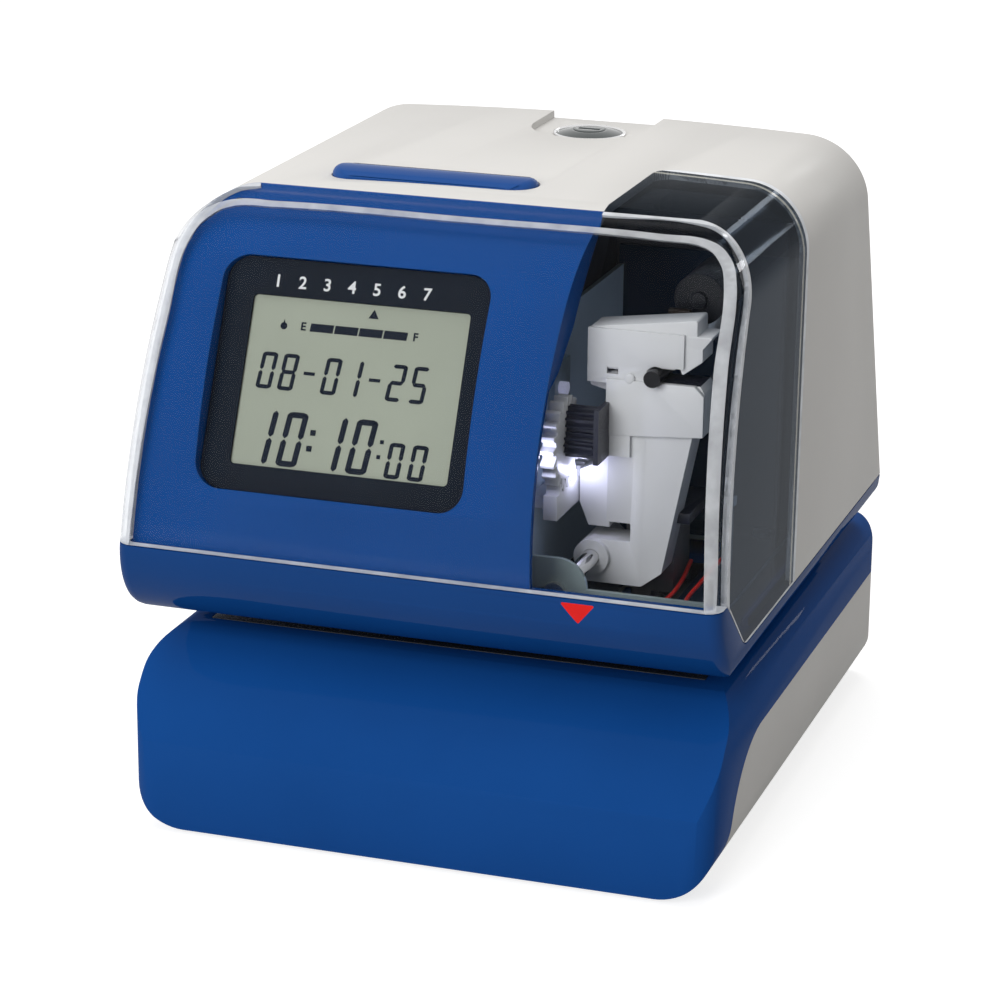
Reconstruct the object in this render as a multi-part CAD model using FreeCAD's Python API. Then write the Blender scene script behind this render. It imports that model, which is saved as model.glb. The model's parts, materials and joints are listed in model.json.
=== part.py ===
import FreeCAD, Part
import math
import os

# Date and time stamp machine, in millimetres. +Z is up, the front faces -Y, and the origin is at the
# bottom centre of the whole machine. "Behind the front" always means measured in +Y from the front.

V = FreeCAD.Vector
X_AXIS = V(1, 0, 0)
Y_AXIS = V(0, 1, 0)
Z_AXIS = V(0, 0, 1)
FAR = 400.0                     # longer than the machine in every direction

# ---- clearances ----
run_clear = 0.06                # radial, turning or sliding fits
part_clear = 0.3                # between bodies that move past each other
seat_clear = 0.15               # let-in pieces of one body

# ---- base ----
base_side_in = 1.6              # base's sides inside the head's skirt
base_depth = 167.0
base_height = 45.0
base_setback = 3.0              # base front behind the head front
base_wall = 2.5
apron_height = 14.0             # straight part of the apron's front
apron_radius = 31.0
base_bottom_radius = 14.0       # along the lower side edges
base_top_radius = 8.0           # along the upper side edges
base_front_radius = 7.0         # upright front corners
parting_height = 30.2           # side seam between cover and bottom shell
parting_radius = 29.0
parting_start = 17.5            # where the seam meets the underside, behind the front
foot_diameter = 12.0
foot_proud = 1.0
foot_recess = 1.2
foot_inset_x = 22.0
foot_inset_y = 24.0
base_screw_diameter = 3.0
base_screw_head = 5.6
base_post_diameter = 8.0
base_post_inset_x = 12.4        # screw posts from the base's sides, front and rear
base_post_inset_y = 36.0
base_post_drop = 10.0           # cover posts end this far below the side seam
base_screw_sink = 6.0           # screw head's seat above the base's underside
base_screw_head_height = 2.0
base_screw_hold = 10.0          # screw length inside the cover's post
screw_slot_width = 0.8
foot_pad_rim = 2.0              # bottom shell's boss round each foot

# ---- power parts in the base ----
inlet_from_side = 31.4          # its middle, from the base's -X side
inlet_width = 20.0
inlet_height = 13.0
inlet_low = 12.0                # inlet's lower edge above the base's underside
inlet_depth = 16.0
inlet_flange = 1.5
inlet_rim = 2.0
inlet_pocket_depth = 10.0
inlet_pin_diameter = 2.0
inlet_pin_pitch = 8.0
transformer_from_side = 43.4    # its middle, from the base's -X side
transformer_inset_y = 60.0      # transformer's middle in front of the base's rear
transformer_width = 34.0
transformer_core_length = 14.0
transformer_coil_length = 26.0
transformer_height = 25.0
transformer_lip = 4.0           # core beyond the coil, above and below
transformer_pad = 8.0
power_board_from_side = 53.4    # its middle, from the base's +X side
power_board_width = 84.0
power_board_start = 45.0        # board's front edge behind the front
power_board_length = 48.0
board_post_inset = 5.0
board_standoff = 3.0
board_thickness = 1.6
capacitor_diameter = 9.0
capacitor_height = 14.0
capacitor_count = 3
heat_sink_height = 16.0
heat_sink_thickness = 4.0
heat_sink_length = 28.0

# ---- table, throat and column ----
throat_height = 6.8
table_side_in = 10.4            # table's side edges inside the base's sides
table_start = 31.0              # table front edge behind the front
table_end = 117.5
table_thickness = 1.2
platen_width = 13.0
platen_start = 37.0
platen_length = 59.0
platen_thickness = 2.4
platen_proud = 0.2
platen_hook = 2.0               # platen foot beyond the slot in the cover
platen_offset = 5.0             # platen's left edge right of the guide shaft
sensor_offset = 12.0            # sensor's middle left of the platen
sensor_start = 40.0             # behind the platen's front end
sensor_width = 5.0
sensor_length = 14.0
column_side_in = 21.4           # column's sides inside the base's sides
column_start = 118.0
column_length = 38.0
column_wall = 6.0
column_corner = 4.0

# ---- head ----
head_width = 150.0              # at the case skirt
pan_side_in = 1.0               # pan's underside inside the skirt, each side
head_depth = 161.8              # at the case skirt
head_height = 101.4             # pan underside to the crest of the top
skirt_height = 6.7              # pan underside to the case skirt at the sides
chin_radius = 20.6              # pan underside to the visor's lower edge
pan_edge_radius = 5.0
side_draft = 3.13               # degrees
rear_lean = 7.4                 # degrees
top_edge_radius = 17.0
crown_rise = 1.2
crown_in = 22.0                 # crown's ends inside the head's sides
visor_lean_low = 6.7            # degrees from upright at the visor's lower edge
visor_lean_high = 30.7
visor_radius = 142.0
visor_straight = 6.0
front_corner_radius = 4.0
corner_facets = 3
crown_margin = 0.2              # side outline clears the crest of the crown
index_in = 22.8                 # triangle on the chin, from the frame's left wall
index_width = 8.4
index_height = 5.1
index_below = 0.9               # its upper edge under the visor's lower edge
index_depth = 0.5
case_wall = 2.4
pan_wall = 2.5
pan_ledge = 5.0                 # thickened rim that carries the case and the face panel
pan_ledge_depth = 3.0
case_seam = 0.3
lip_height = 2.0
lip_wall = 1.5
lip_start = 34.0
cheek_start = 7.0               # where the skirt line leaves the visor's lower edge
cheek_end = 20.5
cheek_radius = 7.0
cheek_turn = 1.5

# ---- visor and window ----
seam_start = 9.0                # visor's rear edge behind the front, at its lower end
seam_lean = 7.0
seam_radius = 142.0
seam_turn = 36.0
seam_straight = 30.0            # straight lower end of the seam's line, under the visor
seam_run = 60.0                 # its straight upper end, past the top
window_from_side = 43.5         # left edge of the window in the top, from the head's +X side
window_rear = 68.0              # rear edge of the window at the skirt, behind the front
window_lean = 14.6              # degrees
window_corner = 6.0
window_back = 92.5              # rear edge of the window in the top
window_margin = 20.0            # the window's space runs on past the case, up and down

# ---- print bar ----
bar_from_frame = 33.5           # bar's middle, left of the frame's left wall
bar_center_y = 60.7
bar_length = 52.0
bar_width = 13.0
bar_proud = 1.6
bar_flange = 1.6
bar_flange_height = 1.2
bar_travel = 1.5
bar_collar = 1.6
bar_collar_depth = 4.2
bridge_drop = 4.6
bridge_thickness = 1.5
bridge_leg = 1.5
bar_spring_diameter = 4.4
bar_spring_wire = 0.5
bar_spring_turns = 3
bar_spring_offset = 17.0
plunger_diameter = 3.0
plunger_length = 7.5

# ---- lock ----
lock_x = 1.0
lock_y = 132.5
recess_radius = 15.0
recess_floor = 2.0              # below the crest of the top
lock_face_diameter = 18.6
lock_face_height = 1.6
lock_barrel_diameter = 14.0
lock_barrel_length = 16.0
lock_nut_width = 20.0
lock_nut_height = 3.0
plug_diameter = 8.0
plug_face_proud = 0.3
keyway_width = 1.4
keyway_length = 5.6
keyway_depth = 5.0
cam_length = 15.0
cam_width = 7.0
cam_thickness = 1.8
cam_gap = 0.4
keeper_width = 12.0
keeper_thickness = 1.5
keeper_lip = 4.0
keeper_foot = 10.0
keeper_gap = 0.6                # keeper's lip above the cam
keeper_clear = 0.5              # keeper's lip beside the turned cam's tip

# ---- face panel and display ----
visor_gap = 0.6
face_wall = 2.0
arch_top_in = 13.0              # panel's right-hand edge at its top, from the frame's left wall
arch_mid_in = 9.6
arch_foot_in = 12.3
arch_mid_height = 52.0          # above the pan's underside
return_wall = 1.6
rib_low_front = 36.0            # lower edge of the panel's right-hand rib, above the visor's lower edge
rib_low_rear = 46.0
rib_depth = 24.0
rib_top_end = 62.0
panel_overlap = 6.0             # panel runs on behind the visor's rear edge
display_lean = 24.0             # degrees
display_shift = 3.4             # bezel's middle right of the chassis' middle
display_center_z = 60.6         # above the pan's underside
display_center_y = 18.6         # bezel front behind the head front
bezel_width = 66.5
bezel_height = 56.0
bezel_corner = 6.0
bezel_thickness = 2.2
lcd_width = 54.8
lcd_height = 41.2
lcd_offset_x = 1.2
lcd_offset_v = -1.3
lcd_sink = 0.8
lcd_thickness = 2.8
lcd_lap = 1.0                   # glass runs on behind the bezel
lcd_reveal = 0.3                # bezel's window inside the visible area
tray_rim = 2.0                  # panel's rim round the bezel
tray_depth = 8.0
display_chips = ((-18.0, -16.0), (4.0, -16.0), (18.0, 12.0))
chip_width = 9.0
chip_height = 7.0
chip_thickness = 1.8

# ---- chassis and boards ----
chassis_inset = 11.0            # from the head's -X side
chassis_gap = 6.0               # left of the frame's left wall
chassis_y = 54.0
chassis_top = 78.0              # above the pan's underside
chassis_shelf = 40.0
chassis_foot = 52.0
chassis_thickness = 1.2
chassis_foot_inset = 8.0
pan_post_diameter = 6.0
display_arm_offset = 24.0       # arms that carry the display board
display_arm_width = 4.0
display_arm_height = 10.0
main_board_margin = 4.0
main_board_low = 6.0            # above the chassis foot
main_board_high = 8.0           # below the chassis shelf
standoff_diameter = 5.0
processor_in = 20.0             # main board's chip, from its left and lower edges
processor_size = 16.0
plug_in = 8.0                   # main board's socket, from its right and lower edges
plug_width = 16.0
plug_height = 8.0
plug_depth = 6.0
cell_diameter = 16.0            # clock's button cell
cell_thickness = 4.0
cell_in = 18.0                  # from the board's right and upper edges
switch_width = 12.0
switch_depth = 7.0
switch_stem = 3.0
switch_stem_height = 1.5
switch_blade = 0.5
setting_buttons = 3
setting_pitch = 11.0
setting_first = 16.0            # first button, from the chassis' left end
setting_y = 84.0
setting_button_diameter = 5.0
setting_button_height = 3.6
setting_button_travel = 0.8
setting_cap_height = 5.0
setting_board_margin = 8.0
setting_board_length = 12.0
setting_housing_width = 8.4

# ---- print mechanism ----
frame_inset = 10.0              # from the head's +X side
frame_width = 47.0
frame_front = 21.0
frame_rear = 106.0
frame_sheet = 1.2
frame_floor = 6.2               # frame floor above the pan's underside
frame_wall_height = 73.0        # left wall above the pan's underside
frame_rear_wall_height = 78.0
frame_lip_height = 15.6         # front strip above the pan's underside
frame_tab_height = 22.6
frame_tab_reach = 9.0           # left of the frame's left wall
frame_tab_width = 27.5
frame_tab_radius = 7.0
frame_wall_start = 6.0          # left wall's front edge behind the frame's front
frame_post_inset_x = 6.0
frame_post_inset_y = 8.0
frame_screw_diameter = 2.6
frame_screw_head = 4.6
tab_screw_head = 5.4
frame_screw_head_height = 1.6
tab_screw_right = 20.0          # from the tab's left edge
tab_screw_drop = 1.4            # below the top of the front lip
shaft_diameter = 4.0
shaft_in = 15.0                 # from the frame's left wall, as the next ones are
shaft_z = 18.7                  # above the pan's underside
rod_in = 29.7
rod_z = 64.5
rod_start = 33.0                # front end of the upper rod
carriage_front = 37.0
carriage_plate = 9.0
carriage_travel = 30.0
carriage_in = 13.0
carriage_width = 28.3
carriage_step = 5.3             # plate's left edge right of the housing's
carriage_top = 64.0
carriage_bed = 27.5             # bed that carries the cassette, above the pan's underside
carriage_bed_thickness = 2.5
arm_half = 4.4
arm_low = 60.0
arm_high = 69.5
rod_slot = 3.4
foot_left = 1.5                 # carriage's foot, left of the shaft
foot_low = 12.2
foot_right_in = 14.3            # from the carriage's right edge, as the next ones are
taper_low = 16.0
taper_low_in = 9.3
taper_high = 50.4
taper_high_in = 2.6
shoulder_drop = 3.0
shoulder_in = 1.6
pocket_width = 5.9
pocket_height = 4.6
pocket_depth = 5.0
housing_setback = 2.5           # housing's face behind the plate's
housing_top_drop = 0.4          # housing's top below the plate's
housing_cap = 3.6
housing_cap_slope = 1.0
housing_neck = 1.2
housing_neck_low = 42.0
housing_block_high = 39.0
housing_block_low = 31.0
latch_gap = 1.0                 # joint between plate and latch
latch_hole_width = 3.0
latch_hole_height = 1.4
latch_toe_in = 5.4              # latch's lower right corner, from the carriage's right edge
latch_waist_in = 0.6
latch_top_in = 2.0
latch_hook_reach = 1.8          # hook's tip beyond the carriage's right edge
latch_waist_low = 68.6          # heights above the pan's underside
latch_waist_high = 71.6
latch_hook_low = 74.6
latch_top_right = 78.4
latch_top_left = 74.8
cassette_left = 7.0             # from the carriage's left edge
cassette_right = 4.0            # left of the upper rod
cassette_length = 14.0
cassette_height = 28.0
boss_diameter = 8.6
boss_length = 16.0
boss_proud = 1.5
pressure_angle = 20.0
wheel_module = 1.0
wheel_teeth = 20
wheel_in = 7.0
wheel_width = 3.4
wheel_y = 30.5
wheel_z = 48.2
gear_module = 0.5
hub_teeth = 12
pinion_teeth = 11
gear_width = 7.0
tooth_fill = 0.40               # tooth width as a share of the pitch at the pitch line
small_tooth_fill = 0.30
pinion_direction = 8.0          # degrees, from straight above the wheel towards the rear
wheel_axle = 2.0
pinion_axle = 1.5
axle_plate = 1.2
axle_plate_drop = 4.0
axle_plate_reach = 3.5
axle_plate_seat = 5.0           # foot of the axle plate on the carriage plate
rack_height = 6.0
rack_length = 62.0
rack_start = 23.0
rack_arm_start = 8.0
rack_arm_thickness = 3.0
lamp_board_start = 44.0
lamp_board_low = 50.0
lamp_board_size = 12.0
lamp_diameter = 3.0
lamp_length = 2.0
lamp_place = 4.0
motor_diameter = 12.4
motor_length = 20.0
motor_in = 36.0
motor_z = 80.0
motor_y = 50.0
motor_boss_diameter = 4.0
motor_boss_length = 1.2
bracket_low = 70.5
bracket_left = 5.0              # from the motor's middle
bracket_right = 2.4
bracket_saddle = 2.0
terminal_left = 7.0             # from the motor's middle
terminal_right = 1.6
terminal_high = 2.4
terminal_low = 6.0
terminal_depth = 2.0
print_head_left = 0.5           # from the platen's left edge
print_head_width = 12.0
print_head_start = 9.2          # behind the carriage's front
print_head_length = 14.0
print_head_low = 8.2
head_nose_left = 1.5
head_nose_width = 5.0
head_nose_length = 7.0
head_nose_low = 3.0
nose_slot_side = 1.0
nose_slot_end = 3.0
knob_diameter = 9.0
knob_height = 5.0
knob_grooves = 8
knob_groove_diameter = 1.2
liner_wall = 1.4
liner_reach = 3.5               # left of the frame's left wall
liner_start = 40.0
liner_rear_gap = 3.0
liner_height = 90.0
liner_rear_drop = 4.0

# ---- derived places ----
machine_depth = max(head_depth, base_setback + base_depth)
front = -machine_depth / 2
base_front = front + base_setback
base_rear = base_front + base_depth
base_bottom = foot_proud
base_top = base_bottom + base_height
pan_bottom = base_top + throat_height
pan_floor = pan_bottom + pan_wall
skirt_z = pan_bottom + skirt_height
visor_bottom = pan_bottom + chin_radius
head_top = pan_bottom + head_height
recess_z = head_top - recess_floor
draft = math.tan(math.radians(side_draft))
face_inset = case_wall + visor_gap
base_width = head_width - 2 * base_side_in
table_width = base_width - 2 * table_side_in
column_width = base_width - 2 * column_side_in
inlet_x = -base_width / 2 + inlet_from_side
transformer_x = -base_width / 2 + transformer_from_side
power_board_x = base_width / 2 - power_board_from_side
pan_width = head_width - 2 * pan_side_in
crown_half = head_width / 2 - crown_in
window_left = head_width / 2 - window_from_side
frame_right = head_width / 2 - frame_inset
frame_left = frame_right - frame_width
frame_tab_left = frame_left - frame_tab_reach
frame_tab_right = frame_tab_left + frame_tab_width
arch_left_top = frame_left + arch_top_in
arch_left_mid = frame_left + arch_mid_in
arch_left_foot = frame_left + arch_foot_in
index_x = frame_left + index_in
bar_center_x = frame_left - bar_from_frame
shaft_x = frame_left + shaft_in
rod_x = frame_left + rod_in
carriage_left = frame_left + carriage_in
carriage_right = carriage_left + carriage_width
carriage_notch = carriage_left + carriage_step
wheel_left = frame_left + wheel_in
hub_left = wheel_left + wheel_width
motor_x = frame_left + motor_in
liner_left = frame_left - liner_reach
chassis_left = -head_width / 2 + chassis_inset
chassis_right = frame_left - chassis_gap
display_center_x = (chassis_left + chassis_right) / 2 + display_shift
setting_first_x = chassis_left + setting_first


def rad(angle):
    return math.radians(angle)


def behind(distance):
    """Y of a place that lies this far behind the head's front."""
    return front + distance


# ---- outline helpers ----

def on_yz(u, v):
    return V(0, u, v)


def on_xz(u, v):
    return V(u, 0, v)


def on_xy(u, v):
    return V(u, v, 0)


def rounded_wire(corners, place):
    """Closed wire through (u, v, radius) corners, each rounded by its own radius."""
    count = len(corners)
    cuts = []
    for i in range(count):
        u, v, radius = corners[i]
        pu, pv, _ = corners[i - 1]
        nu, nv, _ = corners[(i + 1) % count]
        to_prev = V(pu - u, pv - v, 0).normalize()
        to_next = V(nu - u, nv - v, 0).normalize()
        half = to_prev.getAngle(to_next) / 2
        here = V(u, v, 0)
        if radius <= 0:
            cuts.append((here, here, here))
            continue
        reach = radius / math.tan(half)
        inward = (to_prev + to_next).normalize()
        middle = here + inward * (radius / math.sin(half) - radius)
        cuts.append((here + to_prev * reach, middle, here + to_next * reach))
    edges = []
    for i in range(count):
        begin, middle, end = (place(p.x, p.y) for p in cuts[i])
        if begin.distanceToPoint(end) > 1e-6:
            edges.append(Part.Arc(begin, middle, end).toShape())
        after = cuts[(i + 1) % count][0]
        follow = place(after.x, after.y)
        if end.distanceToPoint(follow) > 1e-6:
            edges.append(Part.makeLine(end, follow))
    return Part.Wire(edges)


def trace(start, heading, moves):
    """Edges in YZ from a start point; heading is degrees from +Z towards +Y; turns go towards +Y."""
    edges = []
    y, z = start
    for kind, size, turn in moves:
        if kind == "line":
            ny = y + size * math.sin(rad(heading))
            nz = z + size * math.cos(rad(heading))
            edges.append(Part.makeLine(V(0, y, z), V(0, ny, nz)))
        else:
            cy = y + size * math.cos(rad(heading))
            cz = z - size * math.sin(rad(heading))
            points = []
            for share in (0.5, 1.0):
                angle = rad(heading + turn * share)
                points.append((cy - size * math.cos(angle), cz + size * math.sin(angle)))
            (my, mz), (ny, nz) = points
            edges.append(Part.Arc(V(0, y, z), V(0, my, mz), V(0, ny, nz)).toShape())
            heading += turn
        y, z = ny, nz
    return edges, (y, z)


def close_edges(edges):
    edges.append(Part.makeLine(edges[-1].lastVertex(True).Point, edges[0].firstVertex(True).Point))
    return Part.Wire(edges)


def prism(wire, direction, length, both=True):
    shift = -length / 2 if both else 0.0
    solid = Part.Face(wire).extrude(direction * length)
    solid.translate(direction * shift)
    return solid


def yz_region(corners, left=-FAR, right=FAR):
    solid = Part.Face(rounded_wire(corners, on_yz)).extrude(X_AXIS * (right - left))
    solid.translate(X_AXIS * left)
    return solid


def box(x0, x1, y0, y1, z0, z1):
    return Part.makeBox(x1 - x0, y1 - y0, z1 - z0, V(x0, y0, z0))


def cylinder(diameter, length, base, axis):
    return Part.makeCylinder(diameter / 2, length, base, axis)


def single(shape):
    """The only solid of a shape, cleaned of seams."""
    solids = shape.removeSplitter().Solids
    assert len(solids) == 1, len(solids)
    return solids[0]


def export(name, *shapes):
    solids = []
    for shape in shapes:
        solids.extend(shape.Solids)
    shape = solids[0] if len(solids) == 1 else Part.makeCompound(solids)
    for solid in solids:
        if not solid.isValid() or solid.Volume <= 0:
            print("bad solid in", name)
    shape.exportStep("parts/" + name + ".step")


# ---- head envelope ----

def head_front_edges(inset):
    """Front of the head in side view: chin, leaning visor and brow, up to the level top."""
    top = head_top + crown_margin - inset
    edges, end = trace((behind(chin_radius), pan_bottom + inset), -90.0,
                       [("arc", chin_radius - inset, 90.0)])
    turn = visor_lean_high - visor_lean_low
    rise, end = trace(end, visor_lean_low, [("arc", visor_radius - inset, turn),
                                            ("line", visor_straight, 0)])
    brow_radius = (top - end[1]) / (1 - math.sin(rad(visor_lean_high)))
    brow, end = trace(end, visor_lean_high, [("arc", brow_radius, 90.0 - visor_lean_high)])
    return edges + rise + brow, top


def head_side_wire(inset):
    """Side view of the head: front, level top and rear wall."""
    edges, top = head_front_edges(inset)
    low = pan_bottom + inset
    rear = [V(0, rear_wall_y(top, inset), top), V(0, rear_wall_y(low, inset), low)]
    edges.append(Part.makeLine(edges[-1].lastVertex(True).Point, rear[0]))
    edges.append(Part.makeLine(rear[0], rear[1]))
    return close_edges(edges)


def rear_wall_y(z, inset):
    lean = rad(rear_lean)
    return behind(head_depth) - (z - skirt_z) * math.tan(lean) - inset / math.cos(lean)


def side_wall_x(z, inset):
    return head_width / 2 - (z - skirt_z) * draft - inset / math.cos(rad(side_draft))


def head_front_wire(inset):
    """Front view of the head: crowned top, rounded shoulders, drafted sides and pan edge."""
    crown_radius = (crown_half ** 2 + crown_rise ** 2) / (2 * crown_rise)
    slope = math.asin(crown_half / crown_radius)
    apex = head_top + crown_radius * (1 / math.cos(slope) - 1) - inset
    start = side_wall_x(apex, inset)
    x_corner = start / (1 - math.tan(slope) * draft)
    z_corner = apex - x_corner * math.tan(slope)
    x_pan = pan_width / 2 - inset
    x_skirt = head_width / 2 - inset
    low = pan_bottom + inset
    half = [(x_pan, low, max(pan_edge_radius - inset, 0.4)),
            (x_skirt, skirt_z, 0),
            (x_corner, z_corner, top_edge_radius - inset)]
    mirrored = [(-x, z, r) for x, z, r in reversed(half)]
    return rounded_wire(half + [(0, apex, crown_radius - inset)] + mirrored, on_xz)


_envelopes = {}


def head_block(inset):
    """Solid of the head's outer shape, moved inwards by the inset."""
    if inset not in _envelopes:
        side = prism(head_side_wire(inset), X_AXIS, FAR)
        face = prism(head_front_wire(inset), Y_AXIS, FAR)
        block = side.common(face)
        radius = front_corner_radius - inset
        if radius > 0.3:
            block = round_front_corners(block, inset, radius)
        _envelopes[inset] = block
    return _envelopes[inset].copy()


def round_front_corners(block, inset, radius):
    """Rounds the upright front corners with narrow facets that follow the leaning front and sides."""
    edges, _ = head_front_edges(inset)
    for step in range(1, corner_facets + 1):
        angle = rad(90.0 * step / (corner_facets + 1))
        setback = radius * (1 - math.tan(angle / 2))

        def slid(point):
            reach = side_wall_x(point.z, inset) - setback
            return V(0, point.y - reach * math.tan(angle), point.z)

        outline = [slid_edge(edge, slid) for edge in edges]
        low = outline[0].firstVertex(True).Point
        high = outline[-1].lastVertex(True).Point
        outline.append(Part.makeLine(high, V(0, 4 * FAR, high.z)))
        outline.append(Part.makeLine(V(0, 4 * FAR, high.z), V(0, 4 * FAR, low.z)))
        section = Part.Face(close_edges(outline))
        for side in (1, -1):
            along = V(side * math.cos(angle), math.sin(angle), 0)
            facet = section.extrude(along * FAR)
            block = block.common(facet.fuse(section.extrude(along * -FAR)))
    return block


def slid_edge(edge, slid):
    """The edge with its points moved; a curve becomes the arc through its moved ends and middle."""
    begin = slid(edge.firstVertex(True).Point)
    end = slid(edge.lastVertex(True).Point)
    if edge.Curve.TypeId == "Part::GeomLine":
        return Part.makeLine(begin, end)
    middle = slid(edge.valueAt((edge.FirstParameter + edge.LastParameter) / 2))
    return Part.Arc(begin, middle, end).toShape()


def skirt_region(shift):
    """Everything above the seam between the pan and the case, moved up by the shift."""
    high = FAR
    low_front = visor_bottom + shift
    low_side = skirt_z + shift
    return yz_region([(-FAR, low_front, 0), (behind(cheek_start), low_front, cheek_turn),
                      (behind(cheek_end), low_side, cheek_radius), (FAR, low_side, 0),
                      (FAR, high, 0), (-FAR, high, 0)])


def seam_region(shift):
    """Everything in front of the visor's rear edge, moved back by the shift."""
    start = (behind(seam_start) + shift, visor_bottom - seam_straight)
    edges, end = trace(start, 0.0, [("line", seam_straight, 0)])
    bow, end = trace(end, seam_lean, [("arc", seam_radius, seam_turn), ("line", seam_run, 0)])
    edges += bow
    edges.append(Part.makeLine(V(0, *end), V(0, -FAR, end[1])))
    edges.append(Part.makeLine(V(0, -FAR, end[1]), V(0, -FAR, start[1])))
    return prism(close_edges(edges), X_AXIS, FAR)


def window_region():
    """Space of the side and top window, behind the visor's rear edge."""
    slope = math.tan(rad(window_lean))
    low = skirt_z - window_margin
    high = head_top + window_margin
    side = yz_region([(-FAR, low, 0), (behind(window_rear) - window_margin * slope, low, 0),
                      (behind(window_rear) + (high - skirt_z) * slope, high, 0),
                      (-FAR, high, 0)], left=window_left)
    plan = prism(rounded_wire([(window_left, -FAR, 0), (FAR, -FAR, 0), (FAR, behind(window_back), 0),
                               (window_left, behind(window_back), window_corner)], on_xy), Z_AXIS, FAR)
    return side.common(plan)


# ---- base ----

def base_block(inset):
    """Solid of the base's outer shape, moved inwards by the inset."""
    low = base_bottom + inset
    high = base_top - inset
    start_y = base_front + inset
    edges, end = trace((start_y, low), 0.0, [("line", base_bottom + apron_height - low, 0),
                                             ("arc", apron_radius - inset, 90.0)])
    rear = base_rear - inset
    edges.append(Part.makeLine(V(0, *end), V(0, rear, end[1])))
    edges.append(Part.makeLine(V(0, rear, end[1]), V(0, rear, low)))
    side = prism(close_edges(edges), X_AXIS, FAR)
    half = base_width / 2 - inset
    face_wire = rounded_wire([(-half, low, base_bottom_radius - inset),
                              (half, low, base_bottom_radius - inset),
                              (half, high, base_top_radius - inset),
                              (-half, high, base_top_radius - inset)], on_xz)
    corner = base_front_radius - inset
    plan_wire = rounded_wire([(-half, start_y, corner), (half, start_y, corner),
                              (half, rear, corner), (-half, rear, corner)], on_xy)
    return side.common(prism(face_wire, Y_AXIS, FAR)).common(prism(plan_wire, Z_AXIS, FAR))


def cover_region(shift):
    """Space of the base cover: above the side seam and in front of its curved end."""
    seam = base_bottom + parting_height + shift
    start_y = behind(parting_start) - shift
    return yz_region([(-FAR, -FAR, 0), (start_y, -FAR, 0), (start_y, seam, parting_radius),
                      (FAR, seam, 0), (FAR, FAR, 0), (-FAR, FAR, 0)])


def base_post_places():
    half = base_width / 2 - base_post_inset_x
    return [(x, y) for x in (-half, half)
            for y in (base_front + base_post_inset_y, base_rear - base_post_inset_y)]


def foot_places():
    half = base_width / 2 - foot_inset_x
    return [(x, y) for x in (-half, half)
            for y in (base_front + foot_inset_y, base_rear - foot_inset_y)]


def platen_slot():
    """Slot for the platen through the table and the cover."""
    x0 = platen_left() - seat_clear
    y0 = behind(platen_start) - seat_clear
    return box(x0, x0 + platen_width + 2 * seat_clear, y0, y0 + platen_length + 2 * seat_clear,
               base_top - 2 * base_wall, base_top + 1)


def make_base_cover():
    shell = base_block(0).cut(base_block(base_wall)).common(cover_region(0))
    recess = box(-table_width / 2 - seat_clear, table_width / 2 + seat_clear,
                 behind(table_start), behind(table_end) + seat_clear,
                 base_top - table_thickness, base_top + 1)
    shell = shell.cut(recess).cut(platen_slot())
    low = post_joint_z()
    for x, y in base_post_places():
        post = cylinder(base_post_diameter, base_top - base_wall / 2 - low, V(x, y, low), Z_AXIS)
        shell = shell.fuse(post.common(base_block(0)))
    for x, y in base_post_places():
        shell = shell.cut(cylinder(base_screw_diameter, base_screw_hold + 3.0, V(x, y, low), Z_AXIS))
    return single(shell)


def post_joint_z():
    """Height where the cover's screw posts meet the bottom shell's."""
    return base_bottom + parting_height - base_post_drop


def platen_left():
    return shaft_x + platen_offset


def make_base_bottom_shell():
    block = base_block(0)
    shell = block.cut(base_block(base_wall)).cut(cover_region(0))
    for x, y in base_post_places():
        post = cylinder(base_post_diameter, post_joint_z(), V(x, y, 0), Z_AXIS)
        shell = shell.fuse(post.common(block))
    for x, y in base_post_places():
        shell = shell.cut(cylinder(base_screw_diameter + 2 * seat_clear, FAR, V(x, y, 0), Z_AXIS))
        shell = shell.cut(cylinder(base_screw_head + 2 * seat_clear, base_screw_seat(), V(x, y, 0), Z_AXIS))
    for x, y in foot_places():
        shell = shell.fuse(cylinder(foot_diameter + 2 * foot_pad_rim, base_wall + foot_recess,
                                    V(x, y, base_bottom), Z_AXIS).common(block))
        shell = shell.cut(cylinder(foot_diameter, foot_recess, V(x, y, base_bottom), Z_AXIS))
    low = base_bottom + base_wall / 2
    half = transformer_pad / 2
    for x in transformer_ends():
        shell = shell.fuse(box(x - half, x + half, transformer_y() - half, transformer_y() + half,
                               low, board_z()))
    for x, y in board_post_places():
        shell = shell.fuse(cylinder(standoff_diameter, board_z() - low, V(x, y, low), Z_AXIS))
    return single(shell.cut(inlet_opening()))


def base_screw_seat():
    return base_bottom + base_screw_sink


def make_base_screws():
    screws = []
    seat = base_screw_seat()
    half = screw_slot_width / 2
    for x, y in base_post_places():
        head = cylinder(base_screw_head, base_screw_head_height,
                        V(x, y, seat - base_screw_head_height), Z_AXIS)
        stem = cylinder(base_screw_diameter - 2 * run_clear, post_joint_z() + base_screw_hold - seat,
                        V(x, y, seat), Z_AXIS)
        slot = box(x - base_screw_head, x + base_screw_head, y - half, y + half,
                   base_bottom, seat - base_screw_head_height / 2)
        screws.append(head.fuse(stem).cut(slot))
    return screws


def make_rubber_feet():
    return [cylinder(foot_diameter, foot_recess + foot_proud, V(x, y, 0), Z_AXIS)
            for x, y in foot_places()]


# ---- power parts in the base ----

def board_z():
    return base_bottom + base_wall + board_standoff


def transformer_y():
    return base_rear - transformer_inset_y


def transformer_ends():
    half = transformer_width / 2 - transformer_pad / 2
    return (transformer_x - half, transformer_x + half)


def inlet_opening():
    half = inlet_width / 2
    low = base_bottom + inlet_low
    return box(inlet_x - half, inlet_x + half, base_rear - 2 * base_wall, base_rear + 1,
               low, low + inlet_height)


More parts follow.
